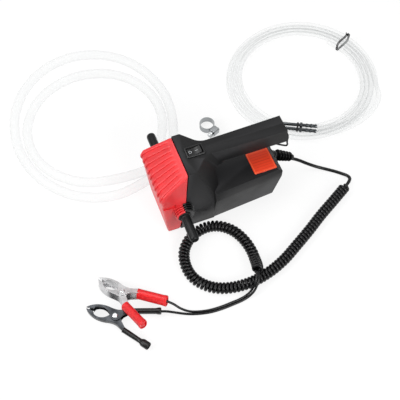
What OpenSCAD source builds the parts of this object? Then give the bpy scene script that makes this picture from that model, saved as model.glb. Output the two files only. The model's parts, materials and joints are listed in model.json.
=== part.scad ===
// 12 V fluid transfer pump kit: gear pump with a red cap, black case with a handle,
// curly supply cord with two battery clamps, two clear hoses, connectors and a hose clamp.
// +X runs from the cap to the handle's tail, -Y is the side with the near spigot, +Z is up.
// The origin is on the flat base, under the middle of the case.

/* [Case] */
// Height of the top face above the base
case_h = 100; // [94:1:108]
// Height of the motor housing's flat deck
deck_z = 57; // [55:1:60]
// Height of the widest line of the sides
belt_z = 45; // [40:1:49]
// Wall thickness of the mouldings
wall = 2.6; // [2:0.2:3]
// Width of the top face where cap and case meet
top_w = 54; // [50:1:58]
// Width of the front block at its widest line
belt_w = 69; // [66:1:74]
// Width of the front block at its base
base_w = 63; // [60:1:66]
// Place along X where cap and case meet on the top face
joint_x = -40; // [-43:1:-38]
// How far that joint leans forward on its way down to the base
joint_lean = 13; // [8:1:16]
// Width of the motor housing's deck at its front
deck_w = 70; // [66:1:74]
// Width by which the motor housing narrows to its rear
deck_taper = 11; // [4:1:14]
// Place of the motor housing's rear edge
motor_end = 72; // [68:1:76]
// Radius of the case's outer edges
edge_r = 2; // [1:0.5:3]

/* [Handle] */
// Width of the handle where it leaves the front block
grip_w = 19; // [18:0.5:22]
// Width of the handle at its tail
tail_w = 22; // [20:0.5:25]
// Height of the handle's section
grip_h = 21; // [19:0.5:23]
// Place of the handle's tail
tail_x = 82; // [78:1:90]

/* [Front cap] */
// Length of the cap along its sloping top
cap_len = 35; // [32:1:38]
// How far the cap's top drops towards the front
cap_drop = 21; // [16:1:24]
// Width of the cap at its front edge
cap_w = 71; // [68:1:75]
// How far the front face leans back from its top to the base
cap_lean = 7; // [4:1:9]
// Radius of the cap's top front edge
cap_edge_r = 8; // [6:0.5:9]
// Number of ribs on the cap's top
rib_count = 9; // [5:2:11]
// Width of one rib
rib_w = 2.8; // [2:0.2:3.4]
// Height of one rib over the cap
rib_h = 0.9; // [0.4:0.1:1.4]

/* [Pump] */
// Height of the hose spigots' axis
spigot_z = 46; // [45:1:47]
// Place of the hose spigots' axis along X
spigot_x = -51; // [-52:1:-50]
// Outer diameter of a spigot
spigot_d = 10; // [8:0.5:11]
// Bore of a spigot
spigot_bore = 6; // [4:0.5:7]
// Distance from the middle of the pump to a spigot's tip
spigot_reach = 75; // [66:1:84]
// Radius of the ringed boss round a spigot
boss_r = 9.5; // [8.5:0.5:11]
// Teeth on each gear
gear_teeth = 14; // [12:2:16]
// Gear module, which is pitch diameter over teeth
gear_module = 1.75; // [1.5:0.05:1.8]
// Width of the gears' faces
gear_face = 9; // [7:0.5:9.5]

/* [Motor] */
// Diameter of the motor's can
can_d = 39; // [34:1:40]
// Length of the motor's can
can_len = 68; // [60:1:72]
// Diameter of the motor's shaft
shaft_d = 4; // [3:0.5:5]
// Diameter of the armature
armature_d = 24; // [20:1:26]

/* [Switch] */
// Length of the switch's frame
switch_len = 21; // [19:0.5:23]
// Width of the switch's frame
switch_w = 14; // [13:0.5:15]
// Place of the switch's middle
switch_x = -23.3; // [-24:0.1:-22]
// Tilt of the rocker to each side
rocker_tilt = 7; // [4:1:8]

/* [Rating plate] */
// Length of the plate along the deck
plate_len = 27; // [20:1:30]
// Width of the plate across the deck
plate_w = 29; // [20:1:31]

/* [Supply cord] */
// Diameter of the straight cable
cable_d = 4; // [3:0.5:5]
// Outer diameter of the curly cord
curl_d = 12; // [10:0.5:12]
// Diameter of each battery lead
lead_d = 3.4; // [2.5:0.1:4]
// Length of the strain relief's ringed sleeve
relief_len = 33; // [26:1:38]

/* [Battery clamps] */
// Length of a clamp's jaws from the rivet to the tips
jaw_len = 33; // [30:1:36]
// Width of the red clamp's outer arm
red_w = 12; // [11:0.5:14]
// Width of the black clamp's outer arm
black_w = 9.5; // [9:0.5:10]
// Thickness of the clamps' sheet steel
sheet = 1.1; // [0.8:0.1:1.4]
// Half of the angle between a clamp's handles
splay = 17; // [14:1:19]
// Length of a handle beyond its bend
handle_len = 32; // [28:1:36]

/* [Hoses] */
// Outer diameter of the thick hose
hose_d = 12; // [10:0.5:13]
// Radius of the thick hose's inner turns, at the middle of the hose
hose_turn_r = 84.5; // [80:0.5:86]
// Outer diameter of the thin hose
thin_d = 6; // [5:0.5:7]
// Inner radius of the thin hose's coil
coil_in_r = 76; // [72:1:80]
// Outer radius of the thin hose's coil
coil_out_r = 99; // [96:1:102]

/* [Hose clamp] */
// Inner diameter of the clamp's band
band_in_d = 17; // [15:0.5:19]
// Width of the clamp's band
band_w = 8; // [6:0.5:9]

/* [Hidden] */
$fn = 48;
eps = 0.02;
fit = 0.05;        // running clearance of shafts and pins, on the radius
slip = 0.3;        // clearance between parts that only lie near each other

// ---- derived places of the case ----
lean_a = atan(joint_lean / case_h);
front_x = joint_x - cap_len;
front_top = case_h - cap_drop;
neck_x = joint_x + 24;
wall_x = joint_x + 36;            // rear wall of the front block, where the handle starts
grip_bottom = case_h - grip_h;
motor_front = wall_x - 8;
rear_slope = 6;                   // how far the rear face leans forward towards the base
bevel_x = motor_end - 6;          // where the deck turns into its rear bevel
bevel_z = deck_z - 5;
motor_z = spigot_z - gear_teeth * gear_module / 2;
driven_z = spigot_z + gear_teeth * gear_module / 2;
gear_x = spigot_x - gear_face / 2;
cover_x = gear_x - 0.1;
cover_t = 4;
pump_rear = gear_x + gear_face + 6;
pump_half_w = 19.5;
pump_end = 19;                    // from a gear's axis to the end of the pump body
mount_t = 10;
can_x = pump_rear + mount_t;
can_end = can_x + can_len;
gear_out_r = gear_teeth * gear_module / 2 + 0.85 * gear_module;

function joint_at(z) = joint_x - joint_lean * (case_h - z) / case_h;
function front_at(z) = front_x + cap_lean * (1 - z / front_top);
function rear_at(z) = motor_end - rear_slope * (1 - z / bevel_z);

// ---- shared shapes ----

// A ball on each side of the middle plane, with its outside at the half width given.
module pair(x, width, z, r) {
    for (side = [-1, 1]) translate([x, side * (width / 2 - r), z]) sphere(r, $fn = 16);
}

// A cylinder along +Y or +X between two places.
module along_y(x, z, y0, y1, r) {
    translate([x, y0, z]) rotate([-90, 0, 0]) cylinder(h = y1 - y0, r = r);
}
module along_x(x0, x1, y, z, r) {
    translate([x0, y, z]) rotate([0, 90, 0]) cylinder(h = x1 - x0, r = r);
}

// The outline that cap and case share, on the leaning joint plane, smaller by inset.
module joint_plate(inset, shift) {
    k = 1 / cos(lean_a);
    translate([joint_x + shift, 0, case_h]) rotate([0, lean_a, 0]) rotate([90, 0, 90])
        linear_extrude(eps, center = true) polygon([
            for (side = [-1, 1]) for (p = side < 0 ?
                [[top_w, 0], [belt_w, belt_z + 5 - case_h], [base_w, -case_h]] :
                [[base_w, -case_h], [belt_w, belt_z + 5 - case_h], [top_w, 0]])
            [side * (p[0] / 2 - inset), k * (p[1] + (p[1] == 0 ? -inset : (p[1] == -case_h ? inset : 0)))]
        ]);
}

// Everything in front of the joint plane.
module ahead_of_joint(gap) {
    translate([joint_x - gap, 0, case_h]) rotate([0, lean_a, 0])
        translate([-100, -60, -150]) cube([100, 120, 200]);
}

// The solid front block behind the joint, shrunk by inset on all sides.
module block_solid(inset, r) {
    hull() {
        joint_plate(inset, inset > 0 ? -1 : 0);
        pair(joint_x + 10, top_w - 2 - 2 * inset, case_h - inset - r, r);
        pair(neck_x, grip_w + 4 - 2 * inset, case_h - inset - r, r);
        pair(wall_x - inset - r, 2 * r + 1, case_h - inset - r, r);
        pair(wall_x - inset - r, grip_w - 2 * inset, grip_bottom, r);
        pair(wall_x - inset - r, 48 - 2 * inset, deck_z, r);
        pair(wall_x - 5 - inset - r, belt_w - 2 * inset, belt_z + 3, r);
        pair(wall_x - inset - r, belt_w + 1 - 2 * inset, belt_z - 8, r);
        pair(wall_x - 7 - inset - r, base_w - 1 - 2 * inset, inset + r, r);
    }
}

// The handle, shrunk by inset.
module grip_solid(inset, r) {
    hull() {
        for (z = [case_h - inset - r, grip_bottom + inset + r]) {
            pair(neck_x - 4, grip_w - 2 * inset, z, r);
            pair(wall_x, grip_w - 2 * inset, z, r);
        }
        pair(tail_x - inset - r, tail_w - 2 * inset, case_h - inset - r, r);
        pair(tail_x + 2 - inset - r, tail_w - 2 * inset, grip_bottom + inset + r, r);
    }
}

// The motor housing, shrunk by inset.
module housing_solid(inset, r) {
    hull() {
        pair(motor_front, deck_w - 2 * inset, deck_z - inset - r, r);
        pair(motor_front, deck_w + 4 - 2 * inset, belt_z - 3, r);
        pair(motor_front, base_w - 1 - 2 * inset, inset + r, r);
        pair(bevel_x - inset, deck_w - deck_taper - 2 * inset, deck_z - inset - r, r);
        pair(motor_end - inset - r, deck_w - deck_taper - 5 - 2 * inset, bevel_z - inset, r);
        pair(rear_at(belt_z) - 4 - inset, deck_w - deck_taper + 5 - 2 * inset, belt_z - 1, r);
        pair(rear_at(0) - inset - r, deck_w - deck_taper - 11 - 2 * inset, inset + r, r);
    }
}

// Case screws run across the case: place along X, height, half width of the case there.
low_screw_z = 7;                  // height of the screw nearest to the base
rear_screw_z = 20;                // height of the screw at the rear
SCREWS = [[wall_x + 24, case_h - grip_h / 2, grip_w / 2], [tail_x - 12, case_h - grip_h / 2, tail_w / 2],
    [wall_x - 16, deck_z + 9, belt_w / 2 - 3.5],
    [motor_end - 14, rear_screw_z, (deck_w - deck_taper) / 2 - 2.5],
    [wall_x - 16, low_screw_z, belt_w / 2 - 3.5]];
screw_seat = 6.4;

module case_cuts() {
    // switch window
    translate([switch_x - switch_len / 2 + 1, -switch_w / 2 + 0.7, case_h - 8])
        cube([switch_len - 2, switch_w - 1.4, 12]);
    // seat of the strain relief in the rear wall
    relief_frame() translate([0, 0, -8]) cylinder(h = 12, r = 4.1);
    // spigot boss
    along_y(spigot_x, spigot_z, -belt_w, belt_w, boss_r + fit);
    // vent holes in the rear bevel
    for (y = [-18, -9, 0, 9, 18])
        translate([(bevel_x + motor_end) / 2, y, (deck_z + bevel_z) / 2]) rotate([0, 40, 0])
            translate([0, 0, -6]) cylinder(h = 12, r = 1.1);
}

// Frame of the strain relief: +Z leaves the rear wall at a right angle.
relief_z = bevel_z - 9;            // height at which the supply cord leaves
module relief_frame() {
    translate([rear_at(relief_z), 0, relief_z])
        rotate([0, 90 + atan(rear_slope / bevel_z), 0]) children();
}

// One half shell; side is -1 for the near one and 1 for the far one.
module half_shell(side) {
    difference() {
        union() {
            difference() {
                union() {
                    difference() {
                        block_solid(0, edge_r);
                        ahead_of_joint(0);
                    }
                    grip_solid(0, edge_r);
                    housing_solid(0, edge_r);
                }
                block_solid(wall, 1);
                grip_solid(wall, 1);
                housing_solid(wall, 1);
            }
            // screw towers
            for (s = SCREWS) along_y(s[0], s[1], -s[2] + 1, s[2] - 1, 3.8);
            // cradles under and over the motor's can
            for (x = [can_x + 12, can_end - 14]) translate([x, -22, 1.5]) cube([3, 44, motor_z - 1.5]);
            translate([can_end - 14, -12, deck_z - 8]) cube([3, 24, 7]);
            // lug for the hanging hook
            translate([hook_x - 3, -5.6, hook_z - 2.6]) cube([6, 11.2, grip_bottom - hook_z + 4]);
        }
        translate([-150, side < 0 ? 0 : -200, -10]) cube([300, 200, 200]);
        along_x(can_x - 1, can_end + 8, 0, motor_z, can_d / 2 + 0.1);
        case_cuts();
        for (s = SCREWS) {
            along_y(s[0], s[1], -7.2, 40, 1.5 + fit);
            along_y(s[0], s[1], screw_seat, 40, 3.1);
        }
        along_y(hook_x, hook_z, -12, 12, hook_r + fit);
        if (side > 0) translate([-12 - fit, -1, -1]) cube([24 + 2 * fit, 5 + fit, wall + 1 + fit]);
    }
    // tab of the near shell that the far shell sits over, so the origin lies on one face
    if (side < 0) translate([-12, -1, 0]) cube([24, 5, wall]);
}

module near_shell() { color("#2b2b2c") half_shell(-1); }
module far_shell() { color("#2b2b2c") half_shell(1); }

// ---- front cap ----

module cap_solid(inset, r, edge) {
    hull() {
        joint_plate(inset, inset > 0 ? 1 : 0);
        pair(front_at(front_top) + inset + edge, cap_w - 2 * inset, front_top - inset - edge + 1, edge);
        pair(front_at(58) + inset + r, cap_w + 1 - 2 * inset, 58, r);
        pair(front_at(0) + inset + r, base_w - 1 - 2 * inset, inset + r, r);
    }
}

// Side view of one rib: a band that follows the sloping top and wraps over the front edge.
module rib_outline() {
    slope = atan(cap_drop / cap_len);
    r = cap_edge_r + rib_h;
    cx = front_at(front_top) + cap_edge_r;
    cz = front_top - cap_edge_r + 1;
    polygon([
        [joint_x - 6, case_h - 6 * tan(slope) - 3], [joint_x - 6, case_h - 6 * tan(slope) + rib_h * 0.6],
        for (i = [0:6]) let (t = 90 + slope + i * (90 - slope + 6) / 6) [cx + r * cos(t), cz + r * sin(t)],
        [cx, cz - 4]
    ]);
}

module front_cap() {
    color("#e8383a") difference() {
        union() {
            intersection() {
                cap_solid(0, 3, cap_edge_r);
                ahead_of_joint(0);
            }
            // ribs, fanned out with the cap's sides
            for (i = [0:rib_count - 1]) {
                u = 2 * i / (rib_count - 1) - 1;
                y = u * (top_w / 2 - 4.5);
                translate([joint_x, y, 0]) rotate([0, 0, -u * atan((cap_w - top_w) / 2 / cap_len)])
                    translate([-joint_x, 0, 0]) rotate([90, 0, 0])
                    linear_extrude(rib_w, center = true) rib_outline();
            }
            intersection() {
                along_y(spigot_x, spigot_z, -boss_y, boss_y, boss_r);
                ahead_of_joint(0);
            }
        }
        cap_solid(wall, 1, cap_edge_r - wall);
        along_y(spigot_x, spigot_z, -boss_y - 1, boss_y + 1, collar_r + fit);
        // recess under the facet, on both sides
        for (side = [-1, 1]) translate([front_at(notch_z) + 6, side * (cap_w / 2 + 1), notch_z])
            cube([8, notch_h, notch_h], center = true);
        for (p = CAP_SCREWS) {
            along_x(front_x - 5, seat_x(p[1]), p[0], p[1], head_r + fit);
            along_x(front_x, cover_x, p[0], p[1], screw_r + fit);
        }
    }
    color("#e8383a") for (p = CAP_SCREWS) difference() {
        along_x(front_at(p[1]) + 1.6, cover_x - cover_t, p[0], p[1], 4);
        along_x(front_x - 5, seat_x(p[1]), p[0], p[1], head_r + fit);
        along_x(front_x, cover_x, p[0], p[1], screw_r + fit);
    }
}
screw_r = 1.6;
head_r = 3;
head_h = 2;
function seat_x(z) = front_at(z) + 1.2 + head_h;
boss_y = belt_w / 2 + 7;
notch_z = spigot_z + 10;          // middle of the recess in each side of the cap
notch_h = 5;
screw_in = 5.5;                   // from the pump's side and end to a cap screw
CAP_SCREWS = [for (y = [screw_in - pump_half_w, pump_half_w - screw_in],
    z = [motor_z - pump_end + 5, driven_z + pump_end - 5]) [y, z]];

module cap_screws() {
    color("silver") for (p = CAP_SCREWS) {
        along_x(seat_x(p[1]), pump_rear - 8, p[0], p[1], screw_r);
        along_x(seat_x(p[1]) - head_h, seat_x(p[1]), p[0], p[1], head_r);
    }
}

// ---- gear pump ----

module cavity(r, x0, x1) {
    along_x(x0, x1, 0, motor_z, r);
    along_x(x0, x1, 0, driven_z, r);
}

module pump_body() {
    color("#303338") difference() {
        translate([cover_x, -pump_half_w, motor_z - pump_end])
            cube([pump_rear - cover_x, 2 * pump_half_w, driven_z - motor_z + 2 * pump_end]);
        cavity(gear_out_r + 0.15, cover_x - 1, gear_x + gear_face + 0.1);
        along_y(spigot_x, spigot_z, -pump_half_w - 1, pump_half_w + 1, spigot_bore / 2);
        for (side = [-1, 1]) along_y(spigot_x, spigot_z, side * pump_half_w - 5, side * pump_half_w + 5, spigot_d / 2 - 1 + fit);
        along_x(gear_x, pump_rear + 1, 0, motor_z, shaft_d / 2 + fit);
        along_x(pump_rear - 4, pump_rear + 1, 0, motor_z, 5 + fit);
        along_x(gear_x, pump_rear - 2, 0, driven_z, shaft_d / 2 + fit);
        for (p = CAP_SCREWS) along_x(cover_x - 1, pump_rear - 7, p[0], p[1], screw_r + fit);
    }
}

module pump_cover() {
    color("#55585c") difference() {
        translate([cover_x - cover_t, -pump_half_w, motor_z - pump_end])
            cube([cover_t, 2 * pump_half_w, driven_z - motor_z + 2 * pump_end]);
        along_x(cover_x - 2.5, cover_x + 1, 0, driven_z, shaft_d / 2 + fit);
        along_x(cover_x - 2.5, cover_x + 1, 0, motor_z, shaft_d / 2 + fit);
        for (p = CAP_SCREWS) along_x(cover_x - cover_t - 1, cover_x + 1, p[0], p[1], screw_r + fit);
        gasket_path(0.05);
    }
}

// Rubber cord in a groove of the cover, outside the screws.
gasket_w = 1;
module gasket_path(gap) {
    out = 1;                      // from the cover's edge to the cord
    translate([cover_x - 0.8, 0, spigot_z]) rotate([0, 90, 0]) linear_extrude(0.8) difference() {
        square([driven_z - motor_z + 2 * (pump_end - out + gap), 2 * (pump_half_w - out + gap)], center = true);
        square([driven_z - motor_z + 2 * (pump_end - out - gasket_w - gap), 2 * (pump_half_w - out - gasket_w - gap)],
            center = true);
    }
}
module cover_gasket() { color("#1d1d1d") gasket_path(0); }

module shaft_seal() {
    color("#181818") difference() {
        along_x(pump_rear - 4, pump_rear, 0, motor_z, 5);
        along_x(pump_rear - 5, pump_rear + 1, 0, motor_z, shaft_d / 2 + fit);
    }
}

// Involute of the base circle, at roll angle t.
function involute(rb, t) = [rb * (cos(t) + t * PI / 180 * sin(t)), rb * (sin(t) - t * PI / 180 * cos(t))];
function turned(p, a) = [p[0] * cos(a) - p[1] * sin(a), p[0] * sin(a) + p[1] * cos(a)];

// Spur gear outline with a tooth on its +X side.
module gear_outline() {
    pitch_r = gear_teeth * gear_module / 2;
    rb = pitch_r * cos(25);
    root_r = pitch_r - 1.05 * gear_module;
    roll_max = sqrt(pow(gear_out_r / rb, 2) - 1) * 180 / PI;
    half_thick = 90 / gear_teeth - 0.9;
    at_pitch = tan(25) * 180 / PI - 25;
    flank = [for (i = [0:4]) involute(rb, roll_max * i / 4)];
    polygon([for (k = [0:gear_teeth - 1]) let (a = 360 / gear_teeth * k) each concat(
        [turned([root_r, 0], a - half_thick - at_pitch - 1.5)],
        [for (p = flank) turned(p, a - half_thick - at_pitch)],
        [for (i = [4:-1:0]) turned([flank[i][0], -flank[i][1]], a + half_thick + at_pitch)],
        [turned([root_r, 0], a + half_thick + at_pitch + 1.5)])]);
}

module gear(z, phase, bore_r) {
    translate([gear_x, 0, z]) rotate([0, 90, 0]) linear_extrude(gear_face) difference() {
        rotate(phase) gear_outline();
        circle(bore_r);
    }
}
module drive_gear() { color("#b8bcc0") gear(motor_z, 0, shaft_d / 2); }
module driven_gear() { color("#b8bcc0") gear(driven_z, 180 / gear_teeth, shaft_d / 2 + fit); }
module driven_axle() { color("silver") along_x(cover_x - 2.5, pump_rear - 2, 0, driven_z, shaft_d / 2); }

// Hose spigot: root plug, collar inside the boss, seat for the rubber ring, and the tube.
collar_r = 6.5;
ring_seat_r = 5.6;
ring_w = 2.6;
module spigot(side) {
    color("#3a3d40") translate([spigot_x, 0, spigot_z]) rotate([side < 0 ? 90 : -90, 0, 0]) difference() {
        union() {
            translate([0, 0, pump_half_w - 5]) cylinder(h = 6, r = spigot_d / 2 - 1);
            translate([0, 0, pump_half_w]) cylinder(h = boss_y - pump_half_w, r = collar_r);
            translate([0, 0, pump_half_w]) cylinder(h = boss_y + ring_w - pump_half_w, r = ring_seat_r);
            translate([0, 0, boss_y]) cylinder(h = spigot_reach - boss_y - 1, r = spigot_d / 2);
            translate([0, 0, spigot_reach - 1]) cylinder(h = 1, r1 = spigot_d / 2, r2 = spigot_d / 2 - 1);
        }
        translate([0, 0, pump_half_w - 6]) cylinder(h = spigot_reach, r = spigot_bore / 2);
    }
}
module near_spigot() { spigot(-1); }
module far_spigot() { spigot(1); }

// Rubber ring at the foot of each spigot, on the boss.
module spigot_rings() {
    color("#141414") for (side = [-1, 1])
        translate([spigot_x, side * (boss_y + ring_w / 2), spigot_z]) rotate([90, 0, 0]) difference() {
            cylinder(h = ring_w, r = ring_seat_r + 1.8, center = true);
            cylinder(h = 2 * ring_w, r = ring_seat_r + fit, center = true);
        }
}

// ---- motor ----

module motor_mount() {
    color("#8a8d90") difference() {
        along_x(pump_rear, can_x, 0, motor_z, can_d / 2 - 3);
        along_x(pump_rear - 1, can_x + 1, 0, motor_z, 7);
    }
}
module motor_can() {
    color("#b0b3b6") difference() {
        along_x(can_x, can_end, 0, motor_z, can_d / 2);
        along_x(can_x + 1.6, can_end + 1, 0, motor_z, can_d / 2 - 1.6);
        along_x(can_x - 1, can_x + 3, 0, motor_z, 5 + fit);
    }
}
module end_bell() {
    color("#26282a") difference() {
        union() {
            along_x(can_end - 3, can_end, 0, motor_z, can_d / 2 - 1.6 - fit);
            along_x(can_end, can_end + 3, 0, motor_z, can_d / 2);
        }
        along_x(can_end - 4, can_end + 4, 0, motor_z, 5 + fit);
    }
}
module bushes() {
    color("#a67c3a") for (x = [can_x, can_end - 3]) difference() {
        along_x(x, x + (x == can_x ? 1.6 : 6), 0, motor_z, 5);
        along_x(x - 1, x + 8, 0, motor_z, shaft_d / 2 + fit);
    }
}
module magnets() {
    color("#4a4a4c") difference() {
        along_x(can_x + 8, can_end - 22, 0, motor_z, can_d / 2 - 1.6);
        along_x(can_x + 7, can_end - 20, 0, motor_z, armature_d / 2 + 1);
        translate([can_x, -40, motor_z - 4]) cube([can_len, 80, 8]);
    }
}
module armature() {
    color("#9a6a3a") difference() {
        along_x(can_x + 9, can_end - 24, 0, motor_z, armature_d / 2);
        for (k = [0:4]) translate([can_x, 0, motor_z]) rotate([72 * k, 0, 0])
            translate([8, -1, armature_d / 2 - 5]) cube([can_len - 20, 2, 6]);
        along_x(can_x, can_end, 0, motor_z, shaft_d / 2);
    }
}
module commutator() {
    color("#b87333") difference() {
        along_x(can_end - 18, can_end - 7, 0, motor_z, 5);
        along_x(can_end - 20, can_end, 0, motor_z, shaft_d / 2);
    }
}
module motor_shaft() { color("silver") along_x(cover_x - 2, can_end + 2, 0, motor_z, shaft_d / 2); }
module brushes() {
    color("#3a3a3a") for (side = [-1, 1])
        translate([can_end - 12.5, side * (5 + slip + (can_d / 2 - 1.9 - 5 - slip) / 2), motor_z])
            cube([5, can_d / 2 - 1.9 - 5 - slip, 4], center = true);
}

// ---- switch ----

rocker_z = case_h - 1.6;
module switch_frame() {
    color("#161616") difference() {
        union() {
            translate([switch_x - switch_len / 2, -switch_w / 2, case_h]) cube([switch_len, switch_w, 1.6]);
            translate([switch_x - switch_len / 2 + 1.1, -switch_w / 2 + 0.8, case_h - 18])
                cube([switch_len - 2.2, switch_w - 1.6, 18.5]);
        }
        translate([switch_x - switch_len / 2 + 2.2, -switch_w / 2 + 2.1, case_h - 7])
            cube([switch_len - 4.4, switch_w - 4.2, 10]);
        along_y(switch_x, rocker_z, -switch_w / 2 + 1.2, switch_w / 2 - 1.2, 1 + fit);
        for (k = [-1, 0, 1]) translate([switch_x + 6 * k - 1, -1.2, case_h - 19]) cube([2, 2.4, 3]);
    }
}
// Rocker, shown with its front end pressed down.
module switch_rocker() {
    half = switch_len / 2 - 2.2 - 0.6;
    color("#1e1e1e") translate([switch_x, 0, rocker_z]) rotate([0, -rocker_tilt, 0]) {
        rotate([90, 0, 0]) linear_extrude(switch_w - 4.2 - 0.8, center = true)
            polygon([[-half, -1.4], [half, -1.4], [half, 3.1], [half * 0.35, 2.3], [0, 2.0],
                [-half * 0.35, 2.3], [-half, 3.1]]);
        rotate([90, 0, 0]) cylinder(h = switch_w - 2.8, r = 1, center = true);
    }
}
module switch_terminals() {
    color("#c9b37a") for (k = [-1, 0, 1])
        translate([switch_x + 6 * k - 0.9, -1.1, case_h - 24]) cube([1.8, 2.2, 8]);
}

inner_d = 1.8;
wire_y = belt_w / 2 - 8;          // the wires run along the insides of the case
module inner_wires() {
    color("#a32020") tube([[switch_x - 6, 0, case_h - 25], [switch_x - 9, -6, case_h - 30],
        [switch_x - 11, -20, deck_z + 3], [wall_x - 14, -wire_y, deck_z - 4], [can_end - 27.5, -wire_y, belt_z - 1],
        [can_end - 4, -can_d / 2 - 5, motor_z + 4], [can_end + 8, -19, motor_z + 3],
        [can_end + 4, -9, motor_z + 8]], inner_d, 6);
    color("#222222") tube([[switch_x, 0, case_h - 25], [switch_x - 5, 6, case_h - 30],
        [switch_x - 10, 20, deck_z + 3], [wall_x - 14, wire_y, deck_z - 4], [can_end - 27.5, wire_y, belt_z - 1],
        [can_end - 4, can_d / 2 + 5, motor_z + 6], [can_end + 14, 12, relief_z - 2],
        [rear_at(relief_z) - 6.5, 1, relief_z]], inner_d, 6);
}

// ---- hanging hook ----

hook_x = tail_x - 12;
hook_z = grip_bottom - 1.8;
hook_half = 8;                    // half the distance between the loop's two legs
hook_end = tail_x + 3.5;
hook_r = 1;
// Route of the loop's near half, from its pin to the middle of the crossbar.
HOOK_HALF = [[hook_x, -hook_half + 1.6, hook_z], [hook_x + 0.5, -hook_half + 0.4, hook_z - 0.4],
    [hook_x + 1.8, -hook_half, hook_z - 1.5], [hook_x + 12.2, -hook_half, hook_z - 9.4],
    [hook_x + 13.9, -hook_half, hook_z - 10], [hook_x + 14.8, -hook_half, hook_z - 8.8],
    [hook_end, -hook_half, grip_bottom + 3], [hook_end, -hook_half, case_h - 2.4],
    [hook_end, -hook_half + 0.8, case_h - 0.8], [hook_end, -hook_half + 2.4, case_h]];
HOOK_ROUTE = concat(HOOK_HALF, [for (i = [len(HOOK_HALF) - 1:-1:0]) [HOOK_HALF[i][0], -HOOK_HALF[i][1], HOOK_HALF[i][2]]]);
module hang_hook() {
    color("#202020") {
        tube(HOOK_ROUTE, 2 * hook_r, 8);
        for (side = [-1, 1]) along_y(hook_x, hook_z, min(side * 1, side * (hook_half - 1.4)),
            max(side * 1, side * (hook_half - 1.4)), hook_r);
    }
}

// ---- rating plate ----

plate_t = 0.4;
module rating_plate() {
    color("#ee4422") translate([bevel_x - plate_len, 3 - (deck_w - deck_taper) / 2, deck_z])
        cube([plate_len, plate_w, plate_t]);
}

module case_screws() {
    color("#3c3c3c") for (s = SCREWS) {
        along_y(s[0], s[1], -7, screw_seat, 1.5);
        along_y(s[0], s[1], screw_seat, screw_seat + 2.2, 2.9);
    }
}

// ---- strain relief and supply cord ----

relief_a = 35;
module relief_body() {
    translate([rear_at(relief_z) + 2, 0, relief_z - 0.3]) rotate([0, 90 + relief_a, 0]) children();
}
relief_tip = [rear_at(relief_z) + 2 + relief_len * cos(relief_a), 0, relief_z - 0.3 - relief_len * sin(relief_a)];
module strain_relief() {
    color("#1a1a1a") difference() {
        union() {
            relief_frame() {
                translate([0, 0, -4]) cylinder(h = 4.5, r = 4);
                translate([0, 0, 0]) cylinder(h = 2, r = 6.5);
                translate([0, 0, -5]) cylinder(h = 1.6, r = 5.4);
            }
            relief_body() {
                cylinder(h = relief_len, r1 = 5, r2 = 3.6);
                for (k = [0:5]) translate([0, 0, 9 + 4 * k]) cylinder(h = 2.2, r = 6 - 0.25 * k);
            }
        }
        relief_body() translate([0, 0, 2]) cylinder(h = relief_len, r = cable_d / 2 + fit);
    }
}

// Tube swept along a route: a ring of sides points at each place, square to the route.
function unit(v) = v / norm(v);
function way(route, i) = unit(route[min(i + 1, len(route) - 1)] - route[max(i - 1, 0)]);
function across(v) = abs(v[2]) > 0.95 ? [1, 0, 0] : unit(cross(v, [0, 0, 1]));
module tube(route, d, sides) {
    n = len(route);
    points = [for (i = [0:n - 1]) let (w = way(route, i), a = across(w), b = cross(a, w))
        for (k = [0:sides - 1]) route[i] + d / 2 * (cos(360 * k / sides) * a + sin(360 * k / sides) * b)];
    walls = [for (i = [0:n - 2], k = [0:sides - 1]) let (m = (k + 1) % sides)
        [i * sides + k, i * sides + m, (i + 1) * sides + m, (i + 1) * sides + k]];
    ends = [[for (k = [sides - 1:-1:0]) k], [for (k = [0:sides - 1]) (n - 1) * sides + k]];
    polyhedron(points, concat(walls, ends), convexity = 6);
}

cable_r = cable_d / 2;
curl_r = curl_d / 2;
CABLE_ROUTE = [relief_tip + [-9.83, 0, 6.88], relief_tip, [108, 0, 18], [115, -2, 12], [122, -6, 6], [130, -12, cable_r], [140, -19, cable_r],
    [150, -26, cable_r], [159, -33, cable_r + 0.4], [164, -42, cable_r + 1], [161, -51, cable_r + 2.5],
    [152, -53, curl_r]];
CURL_ROUTE = [[152, -53, curl_r], [128, -64, curl_r], [104, -77, curl_r], [83, -90, curl_r], [62, -102, curl_r],
    [40, -114, curl_r], [18, -122, curl_r], [-6, -126, curl_r], [-32, -123, curl_r], [-50, -114, curl_r],
    [-62, -99, curl_r], [-65, -81, curl_r], [-60, -63, curl_r], [-47, -50, curl_r], [-30, -44.5, curl_r],
    [-14, -47, curl_r], [0, -58, curl_r], [8, -74, curl_r], [11, -92, curl_r], [10, -109, curl_r]];
TWIN_ROUTE = [[9.95, -109.2, curl_r], [9.8, -111.5, 6.3], [9.5, -114.2, 9], [9, -117.3, 12.6], [7.8, -121, 14.7], [6.5, -125, 15],
    [4.5, -129, 13], [1, -133, 9.5], [-5, -137, 5], [-16, -139, cable_r + 0.3], [-30, -141, cable_r],
    [-44, -142, cable_r], [-58, -141, cable_r], [-71, -138, cable_r], [-81, -134.5, cable_r + 0.5],
    [-88, -128.5, 5.5], [-94, -121.5, 10.4], [-101, -115.9, 14.3]];
BLACK_ROUTE = [[-82.2, -138.2, lead_d / 2], [-90, -135, 2], [-96, -129.5, 4.5], [-103, -124.8, 6], [-110.2, -122, 6.2]];

module straight_cable() { color("#161616") tube(CABLE_ROUTE, cable_d, 10); }
module curly_cord() { color("#161616") tube(CURL_ROUTE, curl_d, 12); }
module twin_lead() { color("#161616") tube(TWIN_ROUTE, cable_d, 8); }
module black_lead() { color("#161616") tube(BLACK_ROUTE, lead_d, 8); }

// ---- battery clamps, each in its own frame: rivet at the origin, jaws to +X ----

handle_from = [-13, 11];          // where the handle's straight part starts
RED_HANDLE = 6.4;                 // width of the red clamp's handles
BLACK_HANDLE = 4.4;               // width of the black clamp's handles
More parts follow.
